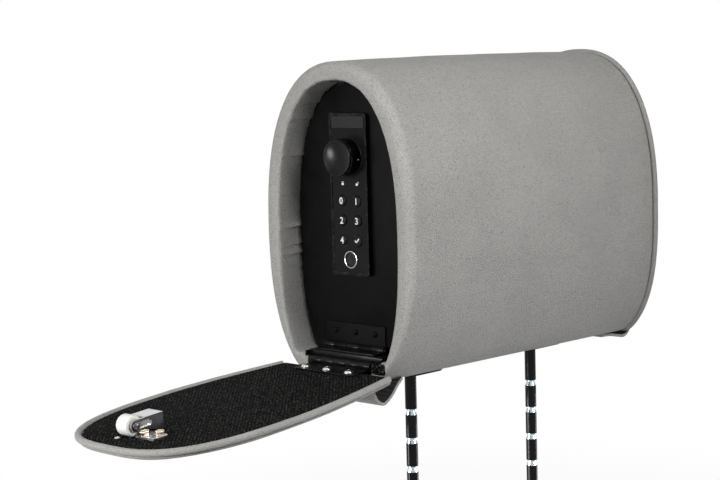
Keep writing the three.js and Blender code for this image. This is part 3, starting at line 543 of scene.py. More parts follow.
def greyLeather(name="greyLeather", tint=(163, 162, 159), size=1.5, relief=0.0004):
    f = Finish(name, "leather", roughness=0.55, Specular_IOR_Level=0.22)
    w = f.w
    grain = f.group("leatherGrain", Size=size, Crease=0.7)
    dust = f.group("lightDust", Amount=0.08)
    edgeMask = f.group("edgeWearAndHighlight", Width=0.0012, Breakup=0.45)
    colour = w.mix(w.ramp(grain["Tone"], 0.3, 0.7), shade(tint, -5), shade(tint, 5))
    # Painted shade: the grain's creases are drawn darker.
    colour = w.mix(w.times(grain["Crease"], 0.85), colour, shade(tint, share=0.55))
    # Painted highlight: the raised fine grain is drawn lighter.
    colour = w.mix(w.times(grain["Fine"], 0.8), colour, shade(tint, 26))
    colour = w.mix(w.times(edgeMask["WearAndHighlight"], 0.12), colour, srgb(196, 194, 189))
    colour = w.mix(dust["Dust"], colour, srgb(200, 197, 190))
    rough = w.math("ADD", w.ramp(grain["Tone"], 0.2, 0.8, 0.48, 0.6), w.times(grain["Crease"], 0.18))
    soft = f.bump(w.noise(f.place, 36.0, 3.0)["Fac"], 0.0012, 0.3)
    return f.feed(Base_Color=colour, Roughness=rough, Normal=f.bump(grain["Height"], relief, 0.9, soft))


def blackCoat(name, slot, tint, roughness, size, relief, edgeWearAndHighlightTone, specular):
    f = Finish(name, slot, roughness=roughness, Specular_IOR_Level=specular)
    w = f.w
    skin = f.group("mouldedSkin", Size=size)
    edgeMask = f.group("edgeWearAndHighlight", Width=0.0007, Breakup=0.5)
    dust = f.group("lightDust", Amount=0.12)
    colour = w.mix(w.ramp(skin["Spread"], 0.3, 0.7), srgb(*tint), shade(tint, 5))
    # Lighter on rounded edges: rubbed wear, and on the panel, knob and keys a painted edge highlight.
    colour = w.mix(w.times(edgeMask["WearAndHighlight"], 0.35), colour, srgb(*edgeWearAndHighlightTone))
    colour = w.mix(w.times(dust["Dust"], 0.6), colour, srgb(120, 118, 114))
    rough = w.ramp(skin["Spread"], 0.25, 0.75, roughness - 0.06, roughness + 0.07)
    rough = w.math("ADD", rough, w.times(dust["Dust"], 0.25), clamp=True)
    return f.feed(Base_Color=colour, Roughness=rough, Normal=f.bump(skin["Height"], relief, 0.8))


def bareMetal(name, slot, tint, roughness, pull, tarnish, share):
    f = Finish(name, slot, roughness=roughness, metallic=1.0)
    w = f.w
    hair = f.group("brushedMetal", Pull=pull)
    edgeMask = f.group("edgeWearAndHighlight", Width=0.0004, Breakup=0.35)
    dust = f.group("lightDust", Amount=0.2)
    stain = w.ramp(hair["Smear"], 0.5, 0.78, 0.0, share)
    colour = w.mix(stain, srgb(*tint), srgb(*tarnish))
    colour = w.mix(w.times(edgeMask["WearAndHighlight"], 0.3), colour, shade(tint, 26))
    rough = w.ramp(hair["Smear"], 0.25, 0.8, roughness - 0.04, roughness + 0.1)
    rough = w.math("ADD", rough, w.times(dust["Dust"], 0.3), clamp=True)
    return f.feed(Base_Color=colour, Roughness=rough, Normal=f.bump(hair["Height"], 0.000012, 0.7))


def loopPile():
    # The black looped lining: little loops in rows, with the raised tips drawn light, a painted highlight,
    # and the hollows between them near black, painted shade
    f = Finish("loopPile", "carpet", roughness=0.95, Specular_IOR_Level=0.04)
    w = f.w
    moved = w.warped(f.place, 260.0, 3.0, 0.0016)
    across = w.vector("DOT_PRODUCT", moved, (0.69, -0.72, 0.0))
    line = w.add("ShaderNodeCombineXYZ", inputs={"X": across.outputs["Value"]})
    rows = w.bands("X", line.outputs[0], 125.0)["Fac"]
    loops = w.cells("SMOOTH_F1", moved, 430.0, Smoothness=0.3)["Distance"]
    fuzz = w.noise(f.place, 900.0, 4.0)["Fac"]
    height = w.math("SUBTRACT", w.math("ADD", w.times(rows, 0.5), fuzz), loops)
    litLoopTips = w.ramp(height, 0.3, 1.15)
    # Painted highlight on the raised loop tips and painted shade in the hollows between them.
    colour = w.mix(litLoopTips, srgb(3, 3, 3), srgb(78, 77, 75))
    colour = w.mix(w.ramp(fuzz, 0.6, 0.68, 0.0, 0.8), colour, srgb(104, 102, 99))
    rough = w.ramp(litLoopTips, 0.0, 1.0, 0.97, 0.85)
    return f.feed(Base_Color=colour, Roughness=rough, Normal=f.bump(height, 0.0007, 1.0))


def knitBacking():
    # The dark knitted back of the leather cloth
    f = Finish("knitBacking", "leather", roughness=0.9, Specular_IOR_Level=0.25)
    w = f.w
    rows = w.bands("Y", f.place, 160.0, Distortion=2.0, Detail=2.0)["Fac"]
    ribs = w.bands("X", f.place, 110.0, Distortion=2.0, Detail=2.0)["Fac"]
    height = w.times(rows, ribs)
    tone = w.ramp(w.noise(f.place, 40.0, 5.0)["Fac"], 0.4, 0.7, 0.0, 0.3)
    colour = w.mix(tone, w.mix(height, srgb(38, 38, 39), srgb(72, 71, 70)), srgb(52, 50, 48))
    return f.feed(Base_Color=colour, Normal=f.bump(height, 0.0002, 0.8))


def openFoam():
    f = Finish("openFoam", "foam", roughness=0.96, Specular_IOR_Level=0.2)
    w = f.w
    cells = w.cells("F1", f.place, 900.0)["Distance"]
    tone = w.ramp(w.noise(f.place, 25.0, 4.0)["Fac"], 0.4, 0.7, 0.0, 0.35)
    colour = w.mix(w.ramp(cells, 0.1, 0.6), srgb(168, 158, 128), srgb(219, 212, 186))
    colour = w.mix(tone, colour, srgb(205, 190, 148))
    return f.feed(Base_Color=colour, Normal=f.bump(cells, 0.0006, 0.9))


def paintedPrint():
    f = Finish("whitePrint", "black_plastic", roughness=0.5)
    w = f.w
    ink = w.noise(f.place, 2200.0, 4.0)["Fac"]
    colour = w.mix(w.ramp(ink, 0.55, 0.75, 0.0, 0.35), srgb(226, 226, 224), srgb(150, 150, 149))
    return f.feed(Base_Color=colour, Normal=f.bump(ink, 0.00001, 0.6))


def mouldedNylon():
    f = Finish("mouldedNylon", "nylon", roughness=0.42, Subsurface_Weight=0.12, Subsurface_Scale=0.002)
    w = f.w
    skin = f.group("mouldedSkin", Size=0.9)
    dust = f.group("lightDust", Amount=0.4)
    colour = w.mix(w.ramp(skin["Spread"], 0.3, 0.7), srgb(226, 225, 220), srgb(238, 237, 233))
    colour = w.mix(w.times(dust["Dust"], 0.5), colour, srgb(168, 164, 154))
    rough = w.ramp(skin["Spread"], 0.3, 0.7, 0.36, 0.5)
    return f.feed(Base_Color=colour, Roughness=rough, Normal=f.bump(skin["Height"], 0.00003, 0.6))


def circuitLacquer():
    f = Finish("circuitLacquer", "board", roughness=0.4)
    w = f.w
    bricks = {"Mortar_Size": 0.04, "Brick_Width": 1.4, "Row_Height": 0.5}
    tracks = w.texture("Brick", f.place, 240.0, **bricks)["Fac"]
    tone = w.ramp(w.noise(f.place, 300.0, 2.0)["Fac"], 0.5, 0.8, 0.0, 0.3)
    colour = w.mix(tone, w.mix(tracks, srgb(24, 82, 48), srgb(52, 122, 76)), srgb(18, 60, 38))
    return f.feed(Base_Color=colour, Normal=f.bump(tracks, 0.00004, 0.7))


def shrinkWrap():
    f = Finish("shrinkWrap", "cell_wrap", roughness=0.34)
    w = f.w
    creases = w.noise(f.place, 420.0, 3.0, Distortion=1.2)["Fac"]
    colour = w.mix(w.ramp(creases, 0.45, 0.7), srgb(40, 64, 122), srgb(60, 86, 146))
    return f.feed(Base_Color=colour, Normal=f.bump(creases, 0.0001, 0.5))


def barePly():
    f = Finish("barePly", "ply", roughness=0.8)
    w = f.w
    fibres = w.bands("X", f.place, 18.0, Distortion=9.0, Detail=4.0, Detail_Scale=2.0)["Fac"]
    colour = w.mix(fibres, srgb(160, 132, 88), srgb(194, 166, 118))
    return f.feed(Base_Color=colour, Normal=f.bump(fibres, 0.0001, 0.6))


finishes = {
    "leather": greyLeather(), "backing": knitBacking(), "foam": openFoam(), "pile": loopPile(),
    "welt": greyLeather("weltLeather", tint=(166, 165, 162), size=1.2, relief=0.0002),
    # The end welt's leather is a darker copy of the welt leather: painted shade.
    "paintedShadeEndWelt": greyLeather("paintedShadeEndWeltLeather", tint=(146, 145, 142), size=1.2, relief=0.0002),
    "print": paintedPrint(), "nylon": mouldedNylon(), "board": circuitLacquer(), "wrap": shrinkWrap(),
    "ply": barePly(),
}
worn = (92, 90, 87)
coats = (  # material, slot, tint, roughness, grain in mm, relief in metres, edge tone (worn edge, a painted edge highlight on the panel, knob and keys), specular
    ("doorCoat", "doorCoat", "satin_black", (5, 5, 5), 0.5, 0.8, 0.0003, worn, 0.04),
    ("steelCoat", "steelCoat", "black_steel", (9, 9, 10), 0.28, 0.9, 0.00004, (96, 94, 92), 0.1),
    # The light edge tones of panelPlastic, knobPlastic and keyPlastic are a painted edge highlight.
    ("panelPlastic", "panelPlastic", "black_plastic", (9, 9, 9), 0.5, 0.4, 0.00006, (150, 149, 146), 0.05),
    ("labelPlastic", "labelPlastic", "black_plastic", (42, 42, 42), 0.6, 0.3, 0.00009, worn, 0.05),
    ("knobPlastic", "knobPlastic", "satin_black", (6, 6, 6), 0.26, 0.6, 0.00002, (150, 149, 147), 0.1),
    ("keyPlastic", "keyPlastic", "black_plastic", (10, 10, 10), 0.42, 0.5, 0.00003, (130, 129, 127), 0.06),
    ("padGlass", "padGlass", "black_plastic", (9, 9, 10), 0.2, 0.5, 0.00001, worn, 0.15),
    ("rubber", "siliconeRubber", "rubber", (38, 39, 42), 0.85, 0.7, 0.00008, worn, 0.5),
    ("postChrome", "darkChrome", "chrome", (6, 7, 8), 0.13, 1.6, 0.00001, worn, 0.12),
)
tarnished = (90, 84, 74)
metals = (  # material, slot, tint, roughness, length of the hair lines, tarnish and its share
    ("nickel", "nickelPlate", "nickel", (208, 205, 200), 0.2, 1.5, tarnished, 0.25),
    ("chrome", "brightChrome", "chrome", (196, 197, 200), 0.1, 2.0, tarnished, 0.12),
    ("notchChrome", "notchChrome", "chrome", (176, 190, 196), 0.16, 4.0, (60, 66, 70), 0.3),
    ("catchSteel", "catchSteel", "chrome", (200, 201, 203), 0.24, 3.0, tarnished, 0.2),
    # A darker copy of catchSteel for the near cheek's outer side and the axle: painted shade.
    ("cheekSteel", "cheekSteel", "chrome", (74, 74, 76), 0.3, 3.0, (40, 39, 38), 0.2),
    ("zinc", "zincPlate", "zinc", (182, 185, 188), 0.32, 12.0, tarnished, 0.25),
    ("brass", "yellowPlate", "brass_plate", (226, 210, 190), 0.2, 2.0, (112, 74, 46), 0.45),
)
finishes.update({key: blackCoat(*row) for key, *row in coats})
finishes.update({key: bareMetal(*row) for key, *row in metals})
print("materials:", len(finishes))

# The padded sleeve

sleeve = {
    "around": 640, "waviness": 0.35, "gather": 0.5, "gatherPitch": 5.2,
    # folds of the recess lining: height, depth, +Y or -Y wall
    "folds": [
        (233, 1.1, 1), (224, 1.5, 1), (211, 2.5, 1), (203, 0.8, 1), (180, 2.2, 1), (150, 0.4, 1),
        (120, 2.7, 1), (105, 1.3, 1), (97, 1.8, 1), (86, 0.8, 1), (58, 0.5, 1),
        (216, 1.8, -1), (188, 1.4, -1), (134, 2.2, -1), (101, 1.2, -1),
    ],
    # the rounded edge of the far end: back from it, and inwards
    "farEdge": [(0.25, 3.2), (0, 2.4), (0.1, 1.6), (0.5, 0.9), (1.2, 0.35), (2.4, 0.05)],
    "sideSteps": 26, "rimSteps": 24, "wallSteps": 9, "insideSteps": 10,
    # cut for the sill bar and the hinges, and round each post
    "cuts": [((-168, -46, 15.6), (-136, 39.5, 23.5)), ((-168, -36, 5), (-136, 36, 16))],
    "postPlaces": (-80.35, 80.35), "postCut": (19, 8), "postCutHeights": (-4, 5), "postCutCorner": 3,
}


def sideOval(x, offset):
    half = (body["far"] - rimStart) / 2
    bulge = body["crown"] * (1 - ((x - rimStart - half) / half) ** 2)
    outer = between(skinOval, skinFarOval, (x - rimStart) / (body["far"] - rimStart))
    oval = between(outer, openingOval, offset / (2 * rim["radius"]))
    return {**oval, "half": oval["half"] + bulge, "top": oval["top"] + bulge}


def eased(value, turn):
    # The rim is round outside and turns in tightly
    power = rim["innerPower"] if turn > math.pi / 2 else 2
    return math.copysign(abs(value) ** (2 / power), value)


def rimOval(offset, turn):
    keep = (rim["radius"] - offset) / rim["radius"]
    return between(skinOval, openingOval, (1 - keep * eased(math.cos(turn), turn)) / 2)


def rimX(offset, turn):
    return rimStart - (rim["radius"] - offset) * eased(max(0, math.sin(turn)), turn)


def rumpled(points, amount):
    # Slow swells of leather over foam, and none on the flat underside
    for point in points:
        out = Vector((0, point.y, point.z - 120)).normalized()
        swell = noise.noise(point * 0.021) + 0.5 * noise.noise(point * 0.055 + Vector((7, 3, 1)))
        point += out * swell * amount * min(1, max(0, point.z - 3) / 12)
    return points


def gathered(points, share):
    # Short creases where the leather is drawn round the rim
    for i, point in enumerate(points):
        out = Vector((0, point.y, point.z - 120)).normalized()
        curl = 0.35 + 0.65 * max(0, (point.z - 150) / 90)
        along = i / len(points) * 700 / sleeve["gatherPitch"]
        crease = noise.noise(Vector((along, 0.3 * share, 2.7)))
        crease += 0.6 * noise.noise(Vector((along * 2.3, 5.1, share)))
        point += out * crease * sleeve["gather"] * curl * share * min(1, max(0, point.z - 26) / 10)
    return points


def folded(points, share):
    # Pleats of the recess wall: a tuck under each, easing off above
    for point in points:
        if point.z < 30:
            continue
        inward = Vector((0, -point.y, 120 - point.z)).normalized()
        push = 0
        for height, depth, side in sleeve["folds"]:
            if point.y * side <= 0:
                continue
            above = point.z - height - 0.07 * (point.x - recessEnd) * (1 if depth > 1.2 else -1)
            if 0 <= above < 9:
                push += depth * (1 - above / 9) ** 2
            elif -1.6 < above < 0:
                push += depth * (1 + above / 1.6) - 0.45 * depth * math.sin(-above / 1.6 * math.pi)
            elif -5 < above < 0:
                push -= 0.12 * depth * (1 + (above + 1.6) / 3.4)
        point += inward * push * share
    return points


def makeSleeve():
    count, thick, far, waviness = sleeve["around"], body["leather"], body["far"], sleeve["waviness"]
    rings = [ringAt(far - back, sideOval(far - back, offset), count) for back, offset in sleeve["farEdge"]]
    steps = sleeve["sideSteps"]
    stations = [far - 4 + (rimStart - far + 4) * i / steps for i in range(steps)]
    rings += [rumpled(ringAt(x, sideOval(x, 0), count), waviness) for x in stations]
    steps = sleeve["rimSteps"]
    for i in range(steps + 1):
        turn = i / steps * math.pi
        points = rumpled(ringAt(rimX(0, turn), rimOval(0, turn), count), waviness * (1 - i / steps))
        rings.append(folded(gathered(points, math.sin(turn / 2) ** 4), max(0, (i - 16) / 30)))
    steps = sleeve["wallSteps"]
    for i in range(1, steps + 1):
        x = rimStart + (recessEnd + 1.8 - rimStart) * i / steps
        points = gathered(ringAt(x, rimOval(0, math.pi), count), 1 - 0.6 * i / steps)
        rings.append(folded(points, min(1, 0.27 + i / 8)))
    rings.append(ringAt(recessEnd + 1.8, rimOval(0.9, math.pi), count))
    rings.append(ringAt(recessEnd, rimOval(thick, math.pi), count))
    steps = sleeve["insideSteps"]
    for i in range(steps, -1, -1):
        turn = i / steps * math.pi
        rings.append(ringAt(rimX(thick, turn), rimOval(thick, turn), count))
    rings.append(ringAt(far - 0.6, sideOval(far - 0.6, 3.2), count))
    piece = finishPiece("sleeve", loft(rings, "closed"), "headrest", "leather", "cover_wrap", sharp=70)
    for low, high in sleeve["cuts"]:
        carve(piece, slab(low, high))
    (halfX, halfY), (foot, head) = sleeve["postCut"], sleeve["postCutHeights"]
    for x in sleeve["postPlaces"]:
        low, high = (x - halfX, -halfY, foot), (x + halfX, halfY, head)
        carve(piece, slab(low, high, corner=sleeve["postCutCorner"], across="Z"))


makeSleeve()
print("sleeve done")

# The closed end: a padded panel inside a welt

closedEnd = {
    "around": 360,
    "section": [
        (152.5, 3.6), (155.5, 3.3), (158.5, 3.4), (161, 3.5), (162.8, 4.3), (164.2, 5.7), (165.1, 7.6),
        (165.6, 10), (166.0, 15), (166.4, 23), (166.8, 34), (167.1, 46), (167.4, 58), (167.5, 66),
    ],
    "weltRadius": 2.6, "weltInset": 0.4, "weltSides": 16,
}
seamOval = {**farOval, "floor": closedEnd["weltRadius"]}


def makeClosedEnd():
    e = closedEnd
    count, radius, sides = e["around"], e["weltRadius"], e["weltSides"]
    rings = ringsOf(e["section"], seamOval, count)
    for ring in rings[6:]:
        for point in ring:
            point.x += 0.4 * noise.noise(point * 0.03) - 0.12
    inner = [(x - 1.4, depth) if depth > 9 else (x - 0.4, depth + 1.4) for x, depth in e["section"]]
    bm = loft(rings[::-1] + ringsOf(inner, seamOval, count), "flat")
    panel = finishPiece("endPanel", bm, "headrest", "leather", "far_end_panel", sharp=70)
    middle = body["far"] + 0.3 + radius
    rings = []
    for turn in (i / sides * 2 * math.pi for i in range(sides)):
        oval = inset(seamOval, e["weltInset"] - radius * math.cos(turn))
        ring = ringAt(middle + radius * math.sin(turn), oval, count)
        for i, point in enumerate(ring):
            point.x += 0.12 * noise.noise(Vector((i * 0.35, 0, 0)))
        rings.append(ring)
    # The end welt takes the darker leather copy: painted shade.
    finishPiece("paintedShadeEndWelt", loft(rings, "closed"), "headrest", "paintedShadeEndWelt", "far_piping", sharp=70)


makeClosedEnd()
print("closed end done")

# The flap, built shut and then laid open: Z up from its hinge axis, X into the body

hinge = {
    "x": -162.5, "z": 13.5, "rest": 95, "radius": 3.3, "pin": 1.4, "half": 34,
    "leaf": 1.4, "leafHalf": 31.5, "leafBack": -143, "leafLength": 22.5,
}
laidOpen = Matrix.Rotation(math.radians(-hinge["rest"]), 4, "Y")
flapPlace = Matrix.Translation((hinge["x"], 0, hinge["z"])) @ laidOpen
flap = {
    "around": 360, "seat": -3.3, "weltX": -5.25, "weltRadius": 2.65, "weltInset": -0.3, "weltStart": 8,
    "skin": [
        (-8.2, 1.4), (-8.2, 0.35), (-8.7, 0.0), (-9.4, 0.1), (-10.2, 0.8), (-10.8, 1.9), (-11.2, 3.4),
        (-11.5, 6), (-11.7, 12), (-11.9, 24), (-12.1, 40), (-12.2, 60), (-12.2, 70),
    ],
    "skinInside": [(-8.3, 1.6), (-9.4, 3.2), (-9.8, 4.6), (-9.8, 12), (-9.8, 40), (-9.8, 70)],
    "pile": [
        (-5.2, 4.0), (-5.0, 3.65), (-4.4, 3.6), (-3.9, 3.65), (-3.65, 4.2), (-3.55, 7), (-3.6, 14),
        (-3.6, 26), (-3.6, 42), (-3.6, 58), (-3.6, 68),
    ],
    "pileUnder": [(-5.2, 6), (-5.2, 14), (-5.2, 40), (-5.2, 68)],
}


def onFlap(name, bm, finish, *stands, sharp=35, body="flap"):
    return finishPiece(name, bm, body, finish, *stands, sharp=sharp, place=flapPlace)


def makeFlap():
    count = flap["around"]
    rings = ringsOf(flap["skin"], flapOval, count)
    for ring in rings[5:]:
        for point in ring:
            point.x += 0.35 * noise.noise(point * 0.028 + Vector((4, 0, 9)))
    bm = loft(rings[::-1] + ringsOf(flap["skinInside"], flapOval, count), "flat")
    skin = onFlap("flapSkin", bm, "leather", "flap_skin", sharp=70)
    edge = outline(inset(flapOval, flap["weltInset"]), count)
    route = [Vector((flap["weltX"], y, z)) for y, z in edge if z > flap["weltStart"]]
    welt = sweep(route, flap["weltRadius"], 16)
    for vert in welt.verts:
        vert.co.x += 0.1 * noise.noise(vert.co * 0.2)
    onFlap("flapWelt", welt, "welt", "flap_piping", sharp=70)

    rings = ringsOf(flap["pile"], flapOval, count)[::-1] + ringsOf(flap["pileUnder"], flapOval, count)
    lining = onFlap("flapLining", loft(rings, "flat"), "pile", "flap_lining")


makeFlap()
print("flap panel done")

# The two leather tails under the body

tails = {
    "thickness": 2.5, "nearHalf": 48, "farHalf": 46, "nearInside": (-161, -3), "farInside": (150, 8),
    "near": [
        (-141, 2.2), (-146.5, -2.4), (-151.5, -8), (-158, -13.6), (-165, -15.9), (-172, -12.2),
        (-176.2, -4.4), (-177.8, -1.2),
    ],
    "far": [(127, -1.2), (139, -1.7), (150, -3.9), (161, -5.2), (169, -0.7), (173.8, 7.3)],
}


def smoothPath(points, steps):
    spans = [Vector((x, 0, z)) for x, z in points]
    spans = [2 * spans[0] - spans[1], *spans, 2 * spans[-1] - spans[-2]]
    dense = []
    for a, b, c, d in zip(spans, spans[1:], spans[2:], spans[3:]):
        square, cube = 2 * a - 5 * b + 4 * c - d, 3 * b - a - 3 * c + d
        for t in (i / 40 for i in range(40)):
            dense.append(0.5 * (2 * b + (c - a) * t + square * t ** 2 + cube * t ** 3))
    dense.append(spans[-2])
    lengths = [(b - a).length for a, b in zip(dense, dense[1:])]
    spots = spaced(lengths, [i / steps for i in range(steps + 1)])
    return [dense[at].lerp(dense[at + 1], share) for at, share in spots], sum(lengths)


def facesTo(face, spot):
    away = spot - face.center
    return away.x * face.normal.x + away.z * face.normal.z > 0


def makeTail(end, steps):
    name, half = f"{end}Tail", tails[f"{end}Half"]
    path, length = smoothPath(tails[end], steps)
    bm = bmesh.new()
    across = [half * (2 * j / 40 - 1) for j in range(41)]
    ring = [bm.verts.new((path[0].x, y, path[0].z)) for y in across]
    for pair in zip(ring, ring[1:]):
        bm.edges.new(pair)
    for i in range(1, steps + 1):
        points = []
        for y in across:
            lift = 0.35 * noise.noise(Vector((i * 0.12, y * 0.03, len(name))))
            points.append(path[i] + Vector((0, y, lift * min(1, i / 5) * min(1, (steps - i) / 5))))
        ring = nextRing(bm, ring, points, closed=False)
    bmesh.ops.recalc_face_normals(bm, faces=bm.faces)
    middle = bm.faces[:][len(bm.faces) // 2]
    if middle.normal.z > 0:
        bmesh.ops.reverse_faces(bm, faces=bm.faces)
    bmesh.ops.solidify(bm, geom=bm.faces[:], thickness=tails["thickness"])
    piece = finishPiece(name, bm, None, "leather", f"{end}_tail", sharp=60, turned=False)
    x, z = tails[f"{end}Inside"]
    spot = Vector((x, 0, z)) * mm
    secondFinish(piece, "backing", lambda face: abs(face.normal.y) < 0.5 and facesTo(face, spot))
    return piece, length


def makeTails():
    near, length = makeTail("near", 44)
    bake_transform(near)
    far, length = makeTail("far", 40)
    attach(far, "headrest")


makeTails()
print("tails done")

# Hinges

doorHinge = {
    "x": -146.5, "z": 24, "radius": 3, "pin": 1.3, "half": 34,
    "leafHalf": 33, "leafFront": -158.5, "doorLeaf": ((-144.9, -33, 24), (-143.5, 33, 43)),
    "rivet": [
        (-146.8, 0), (-146.75, 0.9), (-146.45, 1.7), (-145.9, 2.3), (-145.2, 2.6), (-144.9, 2.6),
        (-144.8, 1.3), (-143.5, 1.3), (-143.5, 0),
    ],
    "rivetRow": (-22, 0, 22), "rivetHeight": 36,
}
# The bar under the hinges, the patch in the corner and a thin trim that lines the cut
sill = {
    "bar": ((-160.5, -44, 16.8), (-139.7, 38.5, 21)), "patch": ((-165.4, -51, 8.2), (-164.6, -35.8, 17.4)),
    "near": -164, "back": -139.8,
    "walls": (  # by Y and Z, from and to, the floor first
        ((-36, 4.9), (36, 6)), ((-36, 5.2), (-35, 16.2)), ((-46.1, 15.5), (-35.4, 16.4)),
        ((-46.1, 15.9), (-45.1, 20)), ((35, 5.2), (36, 16.2)), ((35.4, 15.5), (39.6, 16.4)),
        ((38.7, 15.9), (39.7, 20)),
    ),
}


def knuckles(bm, spec, first, place):
    step = 2 * spec["half"] / 5
    edge = 0.35
    for i in range(first, 5, 2):
        start = -spec["half"] + i * step
        end = start + step - 0.3
        radius, bore = spec["radius"], spec["pin"] + 0.3
        section = [
            (start, bore), (start, radius - edge), (start + edge * 0.3, radius - edge * 0.3),
            (start + edge, radius), (end - edge, radius), (end - edge * 0.3, radius - edge * 0.3),
            (end, radius - edge), (end, bore), (start, bore),
        ]
        spun(section, "Y", place, 40, bm)


def pinOf(spec):
    r, half = spec["pin"], spec["half"]
    end = half - 0.3
    return [(-half, 0), (-half, r * 0.6), (-end, r), (half - 0.6, r), (end, r * 0.6), (end, 0)]


def makeHinges():
    coat, thick = "steelCoat", hinge["leaf"]
    flapAxis, doorAxis = (hinge["x"], 0, hinge["z"]), (doorHinge["x"], 0, doorHinge["z"])
    top = hinge["z"] + hinge["radius"]
    wide = hinge["leafHalf"]
    low, high = (hinge["x"], -wide, top - thick), (hinge["leafBack"], wide, top)
    bm = slab(low, high, edge=0.3, corner=2, across="Z")
    knuckles(bm, hinge, 0, flapAxis)
    finishPiece("flapFrameLeaf", bm, "headrest", coat, "flap_frame_leaf")
    bm = spun(pinOf(hinge), "Y", flapAxis, 32)
    finishPiece("flapHingePin", bm, "headrest", "zinc", "flap_hinge_pin")
    floor = doorHinge["z"] - doorHinge["radius"]
    half = doorHinge["leafHalf"]
    low, high = (doorHinge["leafFront"], -half, floor), (doorHinge["x"], half, floor + thick)
    bm = slab(low, high, edge=0.3, corner=1.5, across="Z")
    knuckles(bm, doorHinge, 0, doorAxis)
    finishPiece("doorSillLeaf", bm, "headrest", coat, "door_sill_leaf")
    bm = spun(pinOf(doorHinge), "Y", doorAxis, 32)
    finishPiece("doorHingePin", bm, "headrest", "zinc", "door_hinge_pin")
    finishPiece("sillBar", slab(*sill["bar"], edge=0.6), "headrest", coat, "sill_bar")

    boxes = [slab((sill["near"], *low), (sill["back"], *high)) for low, high in sill["walls"]]
    apron = finishPiece("sillApron", boxes[0], "headrest", coat)
    for box in boxes[1:]:
        carve(apron, box, "UNION")
    finishPiece("cornerPatch", slab(*sill["patch"], edge=0.15, corner=2), "headrest", "pile")

    bm = slab(*doorHinge["doorLeaf"], edge=0.3, corner=1.5)
    knuckles(bm, doorHinge, 1, doorAxis)
    for y in doorHinge["rivetRow"]:
        spun(doorHinge["rivet"], "X", (0, y, doorHinge["rivetHeight"]), 40, bm)
    finishPiece("doorLeaf", bm, "door", "doorCoat", "door_leaf")

    seat = flap["seat"]
    bm = slab((seat, -wide, 0), (seat + thick, wide, hinge["leafLength"]), edge=0.3, corner=2.5)
    knuckles(bm, hinge, 1, (0, 0, 0))
    onFlap("flapLeaf", bm, coat, "flap_leaf")


makeHinges()
print("hinges done")

# Screws with a cross recess

leafScrew = {
    "recess": (2.2, 0.85, 1.5), "at": 16.5, "pitch": 24.2, "turns": (20, 55, 38), "height": 2.4,
    "section": [
        (-7.5, 0), (-7.5, 1.2), (-6.5, 1.7), (-0.1, 1.7), (0, 3.95), (0.15, 4.1), (0.55, 4.1), (0.7, 3.9),
        (0.72, 3.4), (1.1, 3.48), (1.6, 3.15), (2.05, 2.5), (2.3, 1.6), (2.4, 0.8), (2.4, 0),
    ],
}


def crossRecess(piece, recess, spot, turn):
    # recess: half the length, the width and the depth of an arm; spot: the middle of the head
    reach, width, deep = recess
    top, y, z = spot
    for quarter in (0, 90):
        arm = slab((-deep / 2, -reach, -width / 2), (deep / 2 + 1, reach, width / 2))
        ends = [v for v in arm.verts if v.co.x < 0]
        bmesh.ops.scale(arm, vec=(1, 0.45, 0.7), verts=ends)
        spin = Matrix.Rotation(math.radians(turn + quarter), 4, "X")
        carve(piece, arm, place=flapPlace @ Matrix.Translation((top - deep / 2, y, z)) @ spin)


def makeScrews():
    face, s = flap["seat"] + hinge["leaf"], leafScrew
    for i, turn in enumerate(s["turns"]):
        y = (i - 1) * s["pitch"]
        bm = spun(shifted(face, s["section"]), "X", (0, y, s["at"]), 56)
        piece = onFlap(f"flapLeafScrew{i + 1}", bm, "nickel", f"flap_leaf_screw_{i + 1}")
        crossRecess(piece, s["recess"], (face + s["height"], y, s["at"]), turn)


makeScrews()

# The roller catch at the flap's tip

catch = {
    "roller": 7.8, "width": 12, "at": 217, "y": 4, "wall": 1.6, "start": 191, "height": 12.5,
    "roof": 16.8, "reach": 22, "nutRadius": 3.7, "nutHeight": 3.4, "arm": 4.4, "gap": 0.4,
    "foot": (205, 219), "slotHalf": 2.4, "slotStart": 202, "slideHalf": 2.6, "slideStart": 200,
    "rollerSide": [(6, 2.3), (5.75, 3.4), (5.75, 5.0), (6, 5.6), (6, 6.6), (5.64, 7.44), (4.8, 7.8)],
    "axleSide": [(9.3, 0), (9.3, 2.4), (9.0, 3.0), (8.6, 3.2), (8.3, 3.2), (8.3, 2)],
    "nuts": ((215, 7, 12), (209, 16.5, 40)),  # place along the flap, out from the cheek, and turn
    "nutBore": [(-1, 0), (-1, 1.6), (2.9, 1.6), (3.7, 2.3), (4.4, 2.3), (4.4, 0)],
    "stud": [(0, 0), (0, 1.5), (2.5, 1.5), (2.8, 1.2), (2.8, 0)],
    "tipHead": [(0, 0), (0, 2.2), (0.35, 2.2), (0.8, 1.6), (1.05, 0.8), (1.1, 0)],
    "tip": (7, 226.5), "tipRecess": (1.3, 0.5, 0.6),
}


